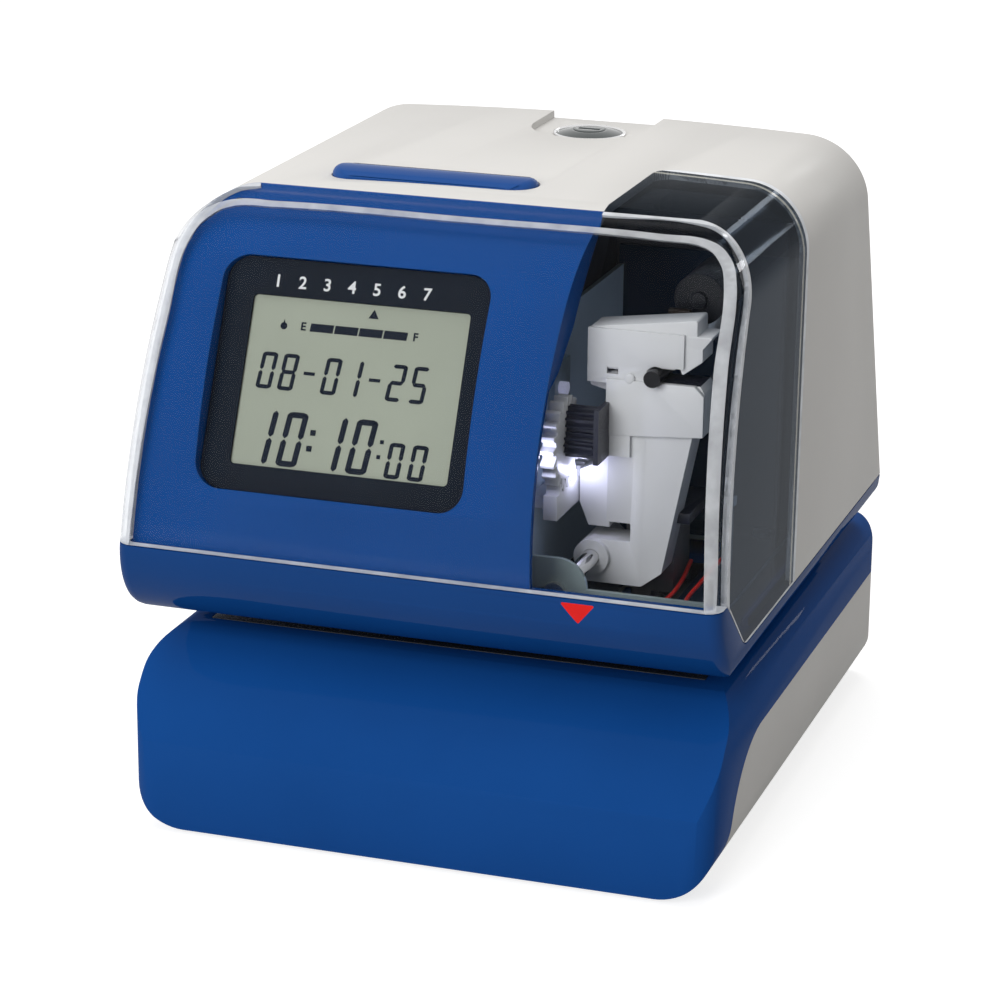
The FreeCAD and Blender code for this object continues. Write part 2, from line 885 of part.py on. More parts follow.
def make_power_inlet():
    half = inlet_width / 2
    low = base_bottom + inlet_low
    high = low + inlet_height
    inner = base_rear - base_wall
    body = box(inlet_x - half, inlet_x + half, base_rear - inlet_depth, base_rear, low, high)
    flange = box(inlet_x - half - inlet_flange, inlet_x + half + inlet_flange, inner - inlet_flange, inner,
                 low - inlet_flange, high + inlet_flange)
    left = inlet_x - half + inlet_rim
    right = inlet_x + half - inlet_rim
    pocket = rounded_wire([(left, low + inlet_rim, inlet_rim), (right, low + inlet_rim, inlet_rim),
                           (right, high - inlet_rim, inlet_rim), (left, high - inlet_rim, inlet_rim)],
                          on_xz)
    hollow = Part.Face(pocket).extrude(Y_AXIS * (inlet_pocket_depth + 1))
    hollow.translate(Y_AXIS * (base_rear - inlet_pocket_depth))
    body = body.fuse(flange).cut(hollow)
    for side in (-1, 1):
        root = V(inlet_x + side * inlet_pin_pitch / 2, base_rear - inlet_pocket_depth - 1, (low + high) / 2)
        body = body.fuse(cylinder(inlet_pin_diameter, inlet_pocket_depth, root, Y_AXIS))
    return single(body)


def make_power_transformer():
    """Steel core with the wound coil round its middle."""
    half = transformer_width / 2
    y = transformer_y()
    low = board_z()
    high = low + transformer_height
    core = transformer_core_length / 2
    coil = transformer_coil_length / 2
    inset = transformer_lip * 1.5
    body = box(transformer_x - half, transformer_x + half, y - core, y + core, low, high)
    winding = box(transformer_x - half + inset, transformer_x + half - inset, y - coil, y + coil,
                  low + transformer_lip, high - transformer_lip)
    return single(body.fuse(winding))


def board_post_places():
    half = power_board_width / 2 - board_post_inset
    y0 = behind(power_board_start) + board_post_inset
    y1 = behind(power_board_start) + power_board_length - board_post_inset
    return [(x, y) for x in (power_board_x - half, power_board_x + half) for y in (y0, y1)]


def make_power_board():
    """Supply board with a row of capacitors and a heat sink."""
    x0 = power_board_x - power_board_width / 2
    y0 = behind(power_board_start)
    low = board_z()
    top = low + board_thickness
    board = box(x0, x0 + power_board_width, y0, y0 + power_board_length, low, top)
    pitch = 1.5 * capacitor_diameter
    for i in range(capacitor_count):
        place = V(x0 + pitch * (i + 1), y0 + power_board_length / 3, top)
        board = board.fuse(cylinder(capacitor_diameter, capacitor_height, place, Z_AXIS))
    sink_x = x0 + pitch * (capacitor_count + 1)
    sink_y = y0 + (power_board_length - heat_sink_length) / 2
    sink = box(sink_x, sink_x + heat_sink_thickness, sink_y, sink_y + heat_sink_length,
               top, top + heat_sink_height)
    return single(board.fuse(sink))


# ---- table ----

def make_table_plate():
    plate = box(-table_width / 2, table_width / 2, behind(table_start) + seat_clear, behind(table_end),
                base_top - table_thickness, base_top)
    return single(plate.cut(platen_slot()).cut(sensor_block(seat_clear)))


def sensor_block(clear):
    """Paper sensor's block, grown by a clearance for the hole in the table."""
    x = platen_left() - sensor_offset
    y0 = behind(platen_start + sensor_start) - clear
    half = sensor_width / 2 + clear
    return box(x - half, x + half, y0, y0 + sensor_length + 2 * clear,
               base_top - table_thickness, base_top)


def make_platen():
    """Anvil under the print head: a rubber strip on a foot that hooks under the cover."""
    x0 = platen_left()
    x1 = x0 + platen_width
    y0 = behind(platen_start)
    y1 = y0 + platen_length
    low = base_top - base_wall
    strip = box(x0, x1, y0, y1, low, base_top + platen_proud)
    foot = box(x0 - platen_hook, x1 + platen_hook, y0 - platen_hook, y1 + platen_hook,
               low - platen_thickness, low)
    return single(strip.fuse(foot))


def make_column():
    """Hollow column at the back of the throat, between the base and the head pan."""
    half = column_width / 2
    y0 = behind(column_start)
    y1 = y0 + column_length
    outer = rounded_wire([(-half, y0, column_corner), (half, y0, column_corner),
                          (half, y1, column_corner), (-half, y1, column_corner)], on_xy)
    solid = Part.Face(outer).extrude(Z_AXIS * throat_height)
    solid.translate(Z_AXIS * base_top)
    duct = box(-half + column_wall, half - column_wall, y0 + column_wall, y1 - column_wall,
               base_top - 1, pan_bottom + 1)
    return single(solid.cut(duct))


# ---- head pan and face panel ----

def make_head_pan():
    outer = head_block(0)
    above = skirt_region(0)
    pan = outer.cut(head_block(pan_wall)).cut(above)
    hollow = head_block(pan_ledge)
    hollow.translate(Z_AXIS * (pan_wall - pan_ledge))
    ledge = outer.cut(head_block(pan_ledge)).cut(hollow).cut(above)
    ledge = ledge.common(skirt_region(-pan_ledge_depth))
    lip = head_block(case_wall + part_clear).cut(head_block(case_wall + part_clear + lip_wall))
    lip = lip.common(skirt_region(-0.5)).cut(skirt_region(lip_height)).common(
        box(-FAR, FAR, behind(lip_start), FAR, 0, FAR))
    pan = pan.fuse(ledge).fuse(lip)
    pan = pan.cut(make_index_triangle()).fuse(pan_posts())
    return single(pan.cut(nose_slot()))


def make_index_triangle():
    """Downward pointing triangle let into the chin under the visor."""
    high = visor_bottom - index_below
    half = index_width / 2
    wire = rounded_wire([(index_x - half, high, 0.3), (index_x + half, high, 0.3),
                         (index_x, high - index_height, 0.3)], on_xz)
    cutter = Part.Face(wire).extrude(Y_AXIS * chin_radius)
    cutter.translate(Y_AXIS * (front - chin_radius / 2))
    return cutter.common(head_block(0)).cut(head_block(index_depth))


def frame_post_places():
    return [(x, behind(y)) for x in (frame_left + frame_post_inset_x, frame_right - frame_post_inset_x)
            for y in (frame_front + frame_post_inset_y, frame_rear - frame_post_inset_y)]


def chassis_post_places():
    return [(x, behind(y)) for x in (chassis_left + chassis_foot_inset, chassis_right - chassis_foot_inset)
            for y in (chassis_y + chassis_foot_inset, chassis_y + chassis_foot - chassis_foot_inset)]


def pan_posts():
    """Posts on the pan's floor that carry the mechanism frame and the chassis."""
    low = pan_bottom + pan_wall / 2
    posts = [cylinder(pan_post_diameter, mech_z(frame_floor) - low, V(x, y, low), Z_AXIS)
             for x, y in frame_post_places() + chassis_post_places()]
    return posts[0].multiFuse(posts[1:])


def nose_slot():
    """Slot through the pan and the frame's floor, along which the print head's nose travels."""
    start = behind(carriage_front + print_head_start) - nose_slot_end
    length = print_head_length + carriage_travel + 2 * nose_slot_end
    x0 = platen_left() - nose_slot_side
    return box(x0, x0 + platen_width + 2 * nose_slot_side, start, start + length,
               pan_bottom - 1, mech_z(frame_floor) + 2 * frame_sheet)


def arch_cutter(shift):
    """Everything to the right of the face panel's bowed right-hand edge."""
    foot = V(arch_left_foot + shift, 0, pan_bottom)
    middle = V(arch_left_mid + shift, 0, pan_bottom + arch_mid_height)
    top = V(arch_left_top + shift, 0, head_top)
    wire = Part.Wire([Part.Arc(foot, middle, top).toShape(), Part.makeLine(top, V(FAR, 0, head_top)),
                      Part.makeLine(V(FAR, 0, head_top), V(FAR, 0, pan_bottom)),
                      Part.makeLine(V(FAR, 0, pan_bottom), foot)])
    return prism(wire, Y_AXIS, FAR)


def display_frame(shape):
    """Turns a shape from the display's own plane (x right, z up, y into the panel) into its place."""
    shape.rotate(V(0, 0, 0), X_AXIS, -display_lean)
    shape.translate(V(display_center_x, behind(display_center_y), pan_bottom + display_center_z))
    return shape


def display_slab(width, height, corner, near, far, dx=0.0, dv=0.0):
    """Rounded rectangle in the display's plane, from depth near to far."""
    w = width / 2
    h = height / 2
    wire = rounded_wire([(dx - w, dv - h, corner), (dx + w, dv - h, corner),
                         (dx + w, dv + h, corner), (dx - w, dv + h, corner)], on_xz)
    slab = Part.Face(wire).extrude(Y_AXIS * (far - near))
    slab.translate(Y_AXIS * near)
    return display_frame(slab)


def make_face_panel():
    skin = head_block(face_inset).cut(head_block(face_inset + face_wall))
    skin = skin.common(skirt_region(0)).common(seam_region(panel_overlap)).cut(arch_cutter(0))
    rib_space = head_block(face_inset + face_wall - 0.3).cut(arch_cutter(0))
    rib_space = rib_space.common(arch_cutter(-return_wall))
    wedge = yz_region([(front, visor_bottom + rib_low_front, 0),
                       (behind(rib_depth), visor_bottom + rib_low_rear, 0),
                       (behind(rib_top_end), head_top, 0), (front, head_top, 0)])
    rib = rib_space.common(wedge).common(seam_region(panel_overlap))
    tray = display_slab(bezel_width + 2 * tray_rim, bezel_height + 2 * tray_rim, bezel_corner + tray_rim,
                        -tray_depth, bezel_thickness)
    panel = skin.fuse(rib).fuse(tray.common(head_block(face_inset)))
    opening = display_slab(bezel_width + 2 * seat_clear, bezel_height + 2 * seat_clear,
                           bezel_corner + seat_clear, -FAR / 8, FAR / 8)
    panel = panel.cut(opening)
    return max(panel.Solids, key=lambda solid: solid.Volume).removeSplitter()


def make_display_bezel():
    plate = display_slab(bezel_width, bezel_height, bezel_corner, 0, bezel_thickness)
    window = display_slab(lcd_width - 2 * lcd_reveal, lcd_height - 2 * lcd_reveal, lcd_lap,
                          -bezel_thickness, 2 * bezel_thickness, lcd_offset_x, lcd_offset_v)
    lap = 2 * (lcd_lap + seat_clear)
    seat = display_slab(lcd_width + lap, lcd_height + lap, lcd_lap, lcd_sink, 2 * bezel_thickness,
                        lcd_offset_x, lcd_offset_v)
    return single(plate.cut(window).cut(seat))


def make_lcd_glass():
    return display_slab(lcd_width + 2 * lcd_lap, lcd_height + 2 * lcd_lap, lcd_lap,
                        lcd_sink, lcd_sink + lcd_thickness, lcd_offset_x, lcd_offset_v)


def display_board_rear():
    return lcd_sink + lcd_thickness + board_thickness


def make_display_board():
    """Board behind the glass, with its driver chips."""
    rear = display_board_rear()
    board = display_slab(bezel_width - 2 * lcd_lap, bezel_height - 2 * lcd_lap, 2 * lcd_lap,
                         rear - board_thickness, rear)
    for u, v in display_chips:
        board = board.fuse(display_slab(chip_width, chip_height, 0.3, rear, rear + chip_thickness, u, v))
    return single(board)


# ---- chassis and its boards ----

def make_chassis():
    """Folded sheet: foot flange, upright wall, top shelf and two arms to the display board."""
    low = mech_z(frame_floor)
    high = mech_z(chassis_top)
    y0 = behind(chassis_y)
    wall = box(chassis_left, chassis_right, y0, y0 + chassis_thickness, low, high)
    foot = box(chassis_left, chassis_right, y0, y0 + chassis_foot, low, low + chassis_thickness)
    shelf = box(chassis_left, chassis_right, y0, y0 + chassis_shelf, high - chassis_thickness, high)
    chassis = wall.fuse(foot).fuse(shelf)
    middle = mech_z(display_center_z)
    ahead = display_slab(FAR / 2, FAR / 2, 1.0, -FAR / 4, display_board_rear())
    for side in (-1, 1):
        x = display_center_x + side * display_arm_offset
        arm = box(x - display_arm_width / 2, x + display_arm_width / 2,
                  behind(display_center_y), y0 + chassis_thickness / 2,
                  middle - display_arm_height / 2, middle + display_arm_height / 2)
        chassis = chassis.fuse(arm.cut(ahead))
    return single(chassis)


def make_main_board():
    """Upright board on the rear of the chassis wall, on short standoffs."""
    y0 = behind(chassis_y) + chassis_thickness
    low = mech_z(frame_floor) + main_board_low
    high = mech_z(chassis_top) - main_board_high
    x0 = chassis_left + main_board_margin
    x1 = chassis_right - main_board_margin
    near = y0 + board_standoff
    board = box(x0, x1, near, near + board_thickness, low, high)
    for x in (x0 + standoff_diameter, x1 - standoff_diameter):
        for z in (low + standoff_diameter, high - standoff_diameter):
            board = board.fuse(cylinder(standoff_diameter, board_standoff, V(x, y0, z), Y_AXIS))
    far = near + board_thickness
    chip_x = x0 + processor_in
    chip_z = low + processor_in
    chip = box(chip_x, chip_x + processor_size, far, far + chip_thickness, chip_z, chip_z + processor_size)
    plug = box(x1 - plug_in - plug_width, x1 - plug_in, far, far + plug_depth,
               low + plug_in, low + plug_in + plug_height)
    cell = cylinder(cell_diameter, cell_thickness, V(x1 - cell_in, far, high - cell_in), Y_AXIS)
    return single(board.fuse(chip).fuse(plug).fuse(cell))


def make_print_switch():
    """Micro switch on the chassis shelf under the print bar's plunger."""
    x = bar_center_x
    y = behind(bar_center_y)
    half = switch_width / 2
    thin = switch_stem / 2
    top = plunger_tip() - bar_travel - part_clear
    blade_low = top - switch_blade
    body_top = blade_low - switch_stem_height
    body = box(x - half, x + half, y - switch_depth / 2, y + switch_depth / 2, mech_z(chassis_top), body_top)
    stem = box(x - thin, x + thin, y - thin, y + thin, body_top, blade_low)
    blade = box(x - half, x + half, y - thin, y + thin, blade_low, top)
    return single(body.fuse(stem).fuse(blade))


def setting_places():
    return [setting_first_x + setting_pitch * i for i in range(setting_buttons)]


def make_setting_board():
    """Board on the chassis shelf with one hollow key housing for each setting button."""
    y = behind(setting_y)
    places = setting_places()
    low = mech_z(chassis_top)
    top = low + board_thickness
    board = box(places[0] - setting_board_margin, places[-1] + setting_board_margin,
                y - setting_board_length / 2, y + setting_board_length / 2, low, top)
    half = setting_housing_width / 2
    for x in places:
        outer = box(x - half, x + half, y - half, y + half, top, top + setting_button_height)
        bore = cylinder(setting_button_diameter + 2 * run_clear, setting_button_height, V(x, y, top), Z_AXIS)
        board = board.fuse(outer.cut(bore))
    return single(board)


def make_setting_button(x):
    low = mech_z(chassis_top) + board_thickness + setting_button_travel + part_clear
    return cylinder(setting_button_diameter, setting_cap_height, V(x, behind(setting_y), low), Z_AXIS)


# ---- print mechanism: fixed pieces ----

def mech_z(height):
    return pan_bottom + height


def make_mechanism_frame():
    """Folded steel sheet: floor, left wall, rear wall and a front lip with a raised tab."""
    low = mech_z(frame_floor)
    y0 = behind(frame_front)
    y1 = behind(frame_rear)
    floor = box(frame_left, frame_right, y0, y1, low, low + frame_sheet)
    left = box(frame_left, frame_left + frame_sheet, y0 + frame_wall_start, y1, low,
               mech_z(frame_wall_height))
    rear = box(frame_left, frame_right, y1 - frame_sheet, y1, low, mech_z(frame_rear_wall_height))
    lip = box(frame_left, frame_right, y0, y0 + frame_sheet, low, mech_z(frame_lip_height))
    tab_wire = rounded_wire([(frame_tab_left, low, 0), (frame_tab_right, low, 0),
                             (frame_tab_right, mech_z(frame_tab_height), frame_tab_radius),
                             (frame_tab_left, mech_z(frame_tab_height), 2.0)], on_xz)
    tab = Part.Face(tab_wire).extrude(Y_AXIS * frame_sheet)
    tab.translate(Y_AXIS * y0)
    sheet = floor.fuse(left).fuse(rear).fuse(lip).fuse(tab).cut(nose_slot())
    reach = 2 * frame_sheet
    for x, z in ((shaft_x, shaft_z), (rod_x, rod_z)):
        sheet = sheet.cut(cylinder(shaft_diameter, reach, V(x, y1 - reach, mech_z(z)), Y_AXIS))
    sheet = sheet.cut(cylinder(frame_screw_diameter, reach, tab_screw_place(), Y_AXIS))
    for x, y in frame_post_places():
        sheet = sheet.cut(cylinder(frame_screw_diameter, reach, V(x, y, low), Z_AXIS))
    return single(sheet)


def tab_screw_place():
    return V(frame_tab_left + tab_screw_right, behind(frame_front), mech_z(frame_lip_height - tab_screw_drop))


def make_frame_screws():
    """Four screws through the frame floor and one in the front tab."""
    screws = []
    top = mech_z(frame_floor) + frame_sheet
    stem_diameter = frame_screw_diameter - 2 * run_clear
    for x, y in frame_post_places():
        head = cylinder(frame_screw_head, frame_screw_head_height, V(x, y, top), Z_AXIS)
        stem = cylinder(stem_diameter, frame_sheet, V(x, y, top - frame_sheet), Z_AXIS)
        screws.append(head.fuse(stem))
    place = tab_screw_place()
    head = cylinder(tab_screw_head, frame_screw_head_height, place - Y_AXIS * frame_screw_head_height, Y_AXIS)
    screws.append(head.fuse(cylinder(stem_diameter, frame_sheet, place, Y_AXIS)))
    return screws


def make_guide_shaft():
    start = behind(frame_front) + frame_sheet
    return cylinder(shaft_diameter, behind(frame_rear) - start, V(shaft_x, start, mech_z(shaft_z)), Y_AXIS)


def make_guide_rod():
    start = behind(rod_start)
    return cylinder(shaft_diameter, behind(frame_rear) - start, V(rod_x, start, mech_z(rod_z)), Y_AXIS)


def wheel_pitch_radius():
    return wheel_module * wheel_teeth / 2


def rack_pitch_z():
    return mech_z(wheel_z) - wheel_pitch_radius()


def make_rack():
    """Toothed bar along Y under the wheel, on a bracket that stands on the frame's left wall."""
    pitch = math.pi * wheel_module
    count = int(rack_length / pitch)
    tip = rack_pitch_z() + wheel_module
    root = rack_pitch_z() - 1.25 * wheel_module
    start = behind(rack_start)
    x0 = wheel_left
    bar = box(x0, x0 + wheel_width, start, start + rack_length, root - rack_height, root)
    for i in range(count + 1):
        # a gap lies right under the wheel's axis at rest
        y = behind(wheel_y) + pitch * (i + 0.5 - int((wheel_y - rack_start) / pitch))
        if y - pitch / 2 < start or y + pitch / 2 > start + rack_length:
            continue
        tooth_half = pitch * tooth_fill / 2
        flare = math.tan(rad(pressure_angle))
        wide = tooth_half + 1.25 * wheel_module * flare
        thin = tooth_half - wheel_module * flare
        wire = rounded_wire([(y - wide, root - 0.1, 0), (y + wide, root - 0.1, 0),
                             (y + thin, tip, 0), (y - thin, tip, 0)], on_yz)
        tooth = Part.Face(wire).extrude(X_AXIS * wheel_width)
        tooth.translate(X_AXIS * x0)
        bar = bar.fuse(tooth)
    arm = box(frame_left + frame_sheet, x0 + wheel_width / 2, start + rack_arm_start, start + rack_length,
              root - rack_height, root - rack_height + rack_arm_thickness)
    return single(bar.fuse(arm))


def make_lamp_board():
    """Small board with a lamp on the frame's left wall, above the rack arm."""
    x0 = frame_left + frame_sheet
    y0 = behind(lamp_board_start)
    low = mech_z(lamp_board_low)
    board = box(x0, x0 + board_thickness, y0, y0 + lamp_board_size, low, low + lamp_board_size)
    place = V(x0 + board_thickness, y0 + lamp_place, low + lamp_board_size / 2)
    return board, cylinder(lamp_diameter, lamp_length, place, X_AXIS)


def make_mechanism_liner():
    """Dark partition: wall to the left of the mechanism and wall behind it."""
    low = pan_floor
    high = mech_z(liner_height)
    y1 = behind(frame_rear) + liner_rear_gap
    left = box(liner_left, liner_left + liner_wall, behind(liner_start), y1 + liner_wall, low, high)
    rear = box(liner_left, frame_right, y1, y1 + liner_wall, low, high - liner_rear_drop)
    return single(left.fuse(rear))


def make_keeper():
    """Bent post with a lip for the lock cam; the lip ends beside the turned cam's tip."""
    y0 = behind(lock_y) - keeper_width / 2
    y1 = y0 + keeper_width
    tip = lock_x + cam_length + keeper_clear
    near = tip + keeper_lip
    far = near + keeper_thickness
    top = cam_top() + keeper_gap + keeper_thickness
    post = box(near, far, y0, y1, pan_floor, top)
    foot = box(near, near + keeper_foot, y0, y1, pan_floor, pan_floor + keeper_thickness)
    lip = box(tip, far, y0, y1, top - keeper_thickness, top)
    return single(post.fuse(foot).fuse(lip))


# ---- print mechanism: carriage ----

def carriage_outline():
    """Front view of the carriage plate, a wedge that narrows to its foot beside the shaft."""
    right = carriage_right
    z = mech_z
    foot_top = shaft_z + boss_diameter / 2
    return [(shaft_x - foot_left, z(foot_low), 0.5), (right - foot_right_in, z(foot_low), 0.5),
            (right - taper_low_in, z(taper_low), 0.5), (right - taper_high_in, z(taper_high), 0.3),
            (right, z(taper_high), 0.3), (right, z(carriage_top - shoulder_drop), 1.0),
            (right - shoulder_in, z(carriage_top), 0.5), (carriage_notch, z(carriage_top), 0.3),
            (carriage_notch, z(foot_top + pocket_height), 0.3),
            (carriage_notch + pocket_width, z(foot_top + pocket_height), 0.3),
            (carriage_notch + pocket_width, z(foot_top), 0.3), (carriage_left, z(foot_top), 2.0)]


def make_carriage():
    """White carriage: tapered plate, bearing boss on the shaft and bearing arm on the upper rod."""
    y0 = behind(carriage_front)
    plate = Part.Face(rounded_wire(carriage_outline(), on_xz)).extrude(Y_AXIS * carriage_plate)
    plate.translate(Y_AXIS * y0)
    boss = cylinder(boss_diameter, boss_length, V(shaft_x, y0 - boss_proud, mech_z(shaft_z)), Y_AXIS)
    bed = box(carriage_left + cassette_left - 1, carriage_right - cassette_right,
              y0 + carriage_plate / 2, y0 + carriage_plate + cassette_length + 3,
              mech_z(carriage_bed), mech_z(carriage_bed) + carriage_bed_thickness)
    arm = box(rod_x - arm_half, rod_x + arm_half, y0, y0 + carriage_plate, mech_z(arm_low), mech_z(arm_high))
    body = plate.fuse(boss).fuse(bed).fuse(arm)
    for x, z in ((shaft_x, shaft_z), (rod_x, rod_z)):
        bore = cylinder(shaft_diameter + 2 * run_clear, FAR, V(x, y0 - FAR / 2, mech_z(z)), Y_AXIS)
        body = body.cut(bore)
    slot = box(rod_x, FAR, y0 - 1, y0 + carriage_plate + 1,
               mech_z(rod_z) - rod_slot / 2, mech_z(rod_z) + rod_slot / 2)
    return single(body.cut(slot))


def make_carriage_side():
    """Left part of the carriage, set back from the plate."""
    z = mech_z
    x0 = hub_left + part_clear
    x1 = carriage_notch
    low = shaft_z + boss_diameter / 2 + pocket_height / 2
    high = carriage_top - housing_top_drop
    neck = x1 - housing_neck
    outline = [(carriage_left, z(low), 0.4), (x1, z(low), 0), (x1, z(high), 0),
               (carriage_left, z(high), 0.4), (carriage_left, z(high - housing_cap), 0.4),
               (neck, z(high - housing_cap - housing_cap_slope), 0.4), (neck, z(housing_neck_low), 0.4),
               (x0, z(housing_block_high), 0.6), (x0, z(housing_block_low), 0.4)]
    side = Part.Face(rounded_wire(outline, on_xz)).extrude(Y_AXIS * (carriage_plate - housing_setback))
    side.translate(Y_AXIS * behind(carriage_front + housing_setback))
    return single(side)


def make_carriage_latch():
    """Upper white piece: block over the gears, hooked over the rod slot at the right."""
    y0 = behind(carriage_front)
    z = mech_z
    right = carriage_right
    low = carriage_top + latch_gap
    arm = rod_x - arm_half
    outline = [(carriage_left, z(low), 0.4), (arm, z(low), 0.4), (arm, z(arm_high), 0),
               (rod_x + arm_half, z(arm_high), 0), (right - latch_toe_in, z(low), 0.3),
               (right - latch_waist_in, z(latch_waist_low), 0.5),
               (right - latch_waist_in, z(latch_waist_high), 0.3),
               (right + latch_hook_reach, z(latch_hook_low), 0.3),
               (right - latch_top_in, z(latch_hook_low), 0.3),
               (right - latch_top_in, z(latch_top_right), 0.6), (carriage_left, z(latch_top_left), 1.2)]
    latch = Part.Face(rounded_wire(outline, on_xz)).extrude(Y_AXIS * carriage_plate)
    latch.translate(Y_AXIS * y0)
    hole = box(carriage_notch - latch_hole_width / 2, carriage_notch + latch_hole_width / 2,
               y0 - 1, y0 + pocket_depth, z(low + latch_hole_height), z(low + 2 * latch_hole_height))
    return single(latch.cut(hole))


def cassette_span():
    """Left and right faces of the cassette."""
    return carriage_left + cassette_left, rod_x - cassette_right


def make_ribbon_cassette():
    """Closed ribbon cassette behind the carriage plate, on the carriage bed."""
    y0 = behind(carriage_front) + carriage_plate + seat_clear
    x0, x1 = cassette_span()
    low = mech_z(carriage_bed) + carriage_bed_thickness
    return box(x0, x1, y0, y0 + cassette_length, low, low + cassette_height)


def make_ribbon_knob():
    """Grooved feed knob on top of the cassette."""
    y = behind(carriage_front) + carriage_plate + seat_clear + cassette_length / 2
    x = sum(cassette_span()) / 2
    low = mech_z(carriage_bed) + carriage_bed_thickness + cassette_height + run_clear
    radius = knob_diameter / 2
    knob = cylinder(knob_diameter, knob_height, V(x, y, low), Z_AXIS)
    for i in range(knob_grooves):
        angle = 2 * math.pi * i / knob_grooves
        place = V(x + radius * math.cos(angle), y + radius * math.sin(angle), low)
        knob = knob.cut(cylinder(knob_groove_diameter, knob_height, place, Z_AXIS))
    return single(knob)


def make_print_head():
    """Dot print head under the carriage, with its nose over the platen."""
    y0 = behind(carriage_front + print_head_start)
    x0 = platen_left() + print_head_left
    x1 = x0 + head_nose_left
    block = box(x0, x0 + print_head_width, y0, y0 + print_head_length,
                mech_z(print_head_low), mech_z(carriage_bed))
    nose = box(x1, x1 + head_nose_width, y0, y0 + head_nose_length,
               mech_z(head_nose_low), mech_z(print_head_low))
    return single(block.fuse(nose))


def gear_solid(module, teeth, width, phase, fill):
    """Spur gear along +X from the origin; phase is the angle of one tooth from +Z towards +Y."""
    pitch_radius = module * teeth / 2
    tip = pitch_radius + module
    root = pitch_radius - 1.25 * module
    step = 2 * math.pi / teeth
    half = step * fill / 2
    flare = math.tan(rad(pressure_angle))
    wide = half + 1.25 * module * flare / root
    thin = max(half - module * flare / tip, 0.12 * step)
    points = []
    for i in range(teeth):
        middle = phase + i * step
        for angle, radius in ((middle - wide, root), (middle - thin, tip),
                              (middle + thin, tip), (middle + wide, root)):
            points.append(V(0, radius * math.sin(angle), radius * math.cos(angle)))
    points.append(points[0])
    return Part.Face(Part.makePolygon(points)).extrude(X_AXIS * width)


def wheel_phase():
    """The wheel has a tooth straight down, in the rack's gap."""
    return math.pi


def wheel_place():
    """Y and Z of the wheel's axis."""
    return behind(wheel_y), mech_z(wheel_z)


def pinion_place():
    """Y and Z of the motor pinion's axis."""
    distance = gear_module * (hub_teeth + pinion_teeth) / 2
    angle = rad(pinion_direction)
    y, z = wheel_place()
    return y + distance * math.sin(angle), z + distance * math.cos(angle)


def bored(gear, x, place, axle):
    """The gear moved to its axis, with a running bore for its axle."""
    y, z = place
    gear.translate(V(x, y, z))
    return single(gear.cut(cylinder(axle + 2 * run_clear, FAR, V(-FAR / 2, y, z), X_AXIS)))


def make_drive_wheel():
    wheel = gear_solid(wheel_module, wheel_teeth, wheel_width, wheel_phase(), tooth_fill)
    return bored(wheel, wheel_left, wheel_place(), wheel_axle)


def make_drive_hub():
    """Dark pinion fixed on the wheel's right face, with a tooth straight up."""
    hub = gear_solid(gear_module, hub_teeth, gear_width, 0.0, small_tooth_fill)
    return bored(hub, hub_left, wheel_place(), wheel_axle)


def pinion_phase():
    """A gap of the pinion faces a tooth of the hub along the line of centres."""
    hub_step = 2 * math.pi / hub_teeth
    pinion_step = 2 * math.pi / pinion_teeth
    angle = rad(pinion_direction)
    return angle + math.pi + pinion_step / 2 + (angle % hub_step) * hub_teeth / pinion_teeth


def make_motor_pinion():
    pinion = gear_solid(gear_module, pinion_teeth, gear_width, pinion_phase(), small_tooth_fill)
    return bored(pinion, hub_left, pinion_place(), pinion_axle)


def make_gear_axles():
    """Two steel pins in a plate whose foot lies on the front of the carriage plate."""
    y, z = wheel_place()
    upper_y, upper_z = pinion_place()
    near = hub_left + gear_width + part_clear
    far = near + axle_plate
    left = wheel_left - axle_plate
    first = cylinder(wheel_axle, far - left, V(left, y, z), X_AXIS)
    second = cylinder(pinion_axle, far - hub_left, V(hub_left, upper_y, upper_z), X_AXIS)
    low = z - axle_plate_drop
    high = upper_z + axle_plate_reach
    rear = behind(carriage_front)
    plate = box(near, far, y - axle_plate_reach, rear, low, high)
    seat = box(near, far + axle_plate_seat, rear - axle_plate, rear, low, high)
    return single(plate.fuse(seat).fuse(first).fuse(second))


def make_motor():
    face = V(motor_x, behind(motor_y), mech_z(motor_z))
    body = cylinder(motor_diameter, motor_length, face, Y_AXIS)
    boss = cylinder(motor_boss_diameter, motor_boss_length, face - Y_AXIS * motor_boss_length, Y_AXIS)
    return single(body.fuse(boss))


def make_motor_bracket():
    """Saddle under the motor, on a bar from the rear of the carriage latch."""
    y0 = behind(carriage_front + carriage_plate)
    y1 = behind(motor_y)
    under = mech_z(motor_z) - motor_diameter / 2
    x0 = motor_x - bracket_left
    x1 = motor_x + bracket_right
    plate = box(x0, x1, y0, y1 + motor_length, mech_z(bracket_low), under)
    block = box(x0, x1, y1, y1 + motor_length, under, under + bracket_saddle)
    hollow = cylinder(motor_diameter, FAR, V(motor_x, y0 - FAR / 2, mech_z(motor_z)), Y_AXIS)
    return single(plate.fuse(block).cut(hollow))


def make_motor_terminals():
    """Terminal block on the motor's front."""
    y0 = behind(motor_y)
    z = mech_z(motor_z)
    return box(motor_x - terminal_left, motor_x - terminal_right, y0 - terminal_depth, y0,
               z - terminal_low, z - terminal_high)


# ---- case ----

def recess_solid(grow, low):
    """Space of the lock recess: a round end about the lock, open to the rear."""
    radius = recess_radius + grow
    y = behind(lock_y)
    round_end = cylinder(2 * radius, FAR, V(lock_x, y, low), Z_AXIS)
    channel = box(lock_x - radius, lock_x + radius, y, y + FAR / 2, low, low + FAR)
    return round_end.fuse(channel).removeSplitter()


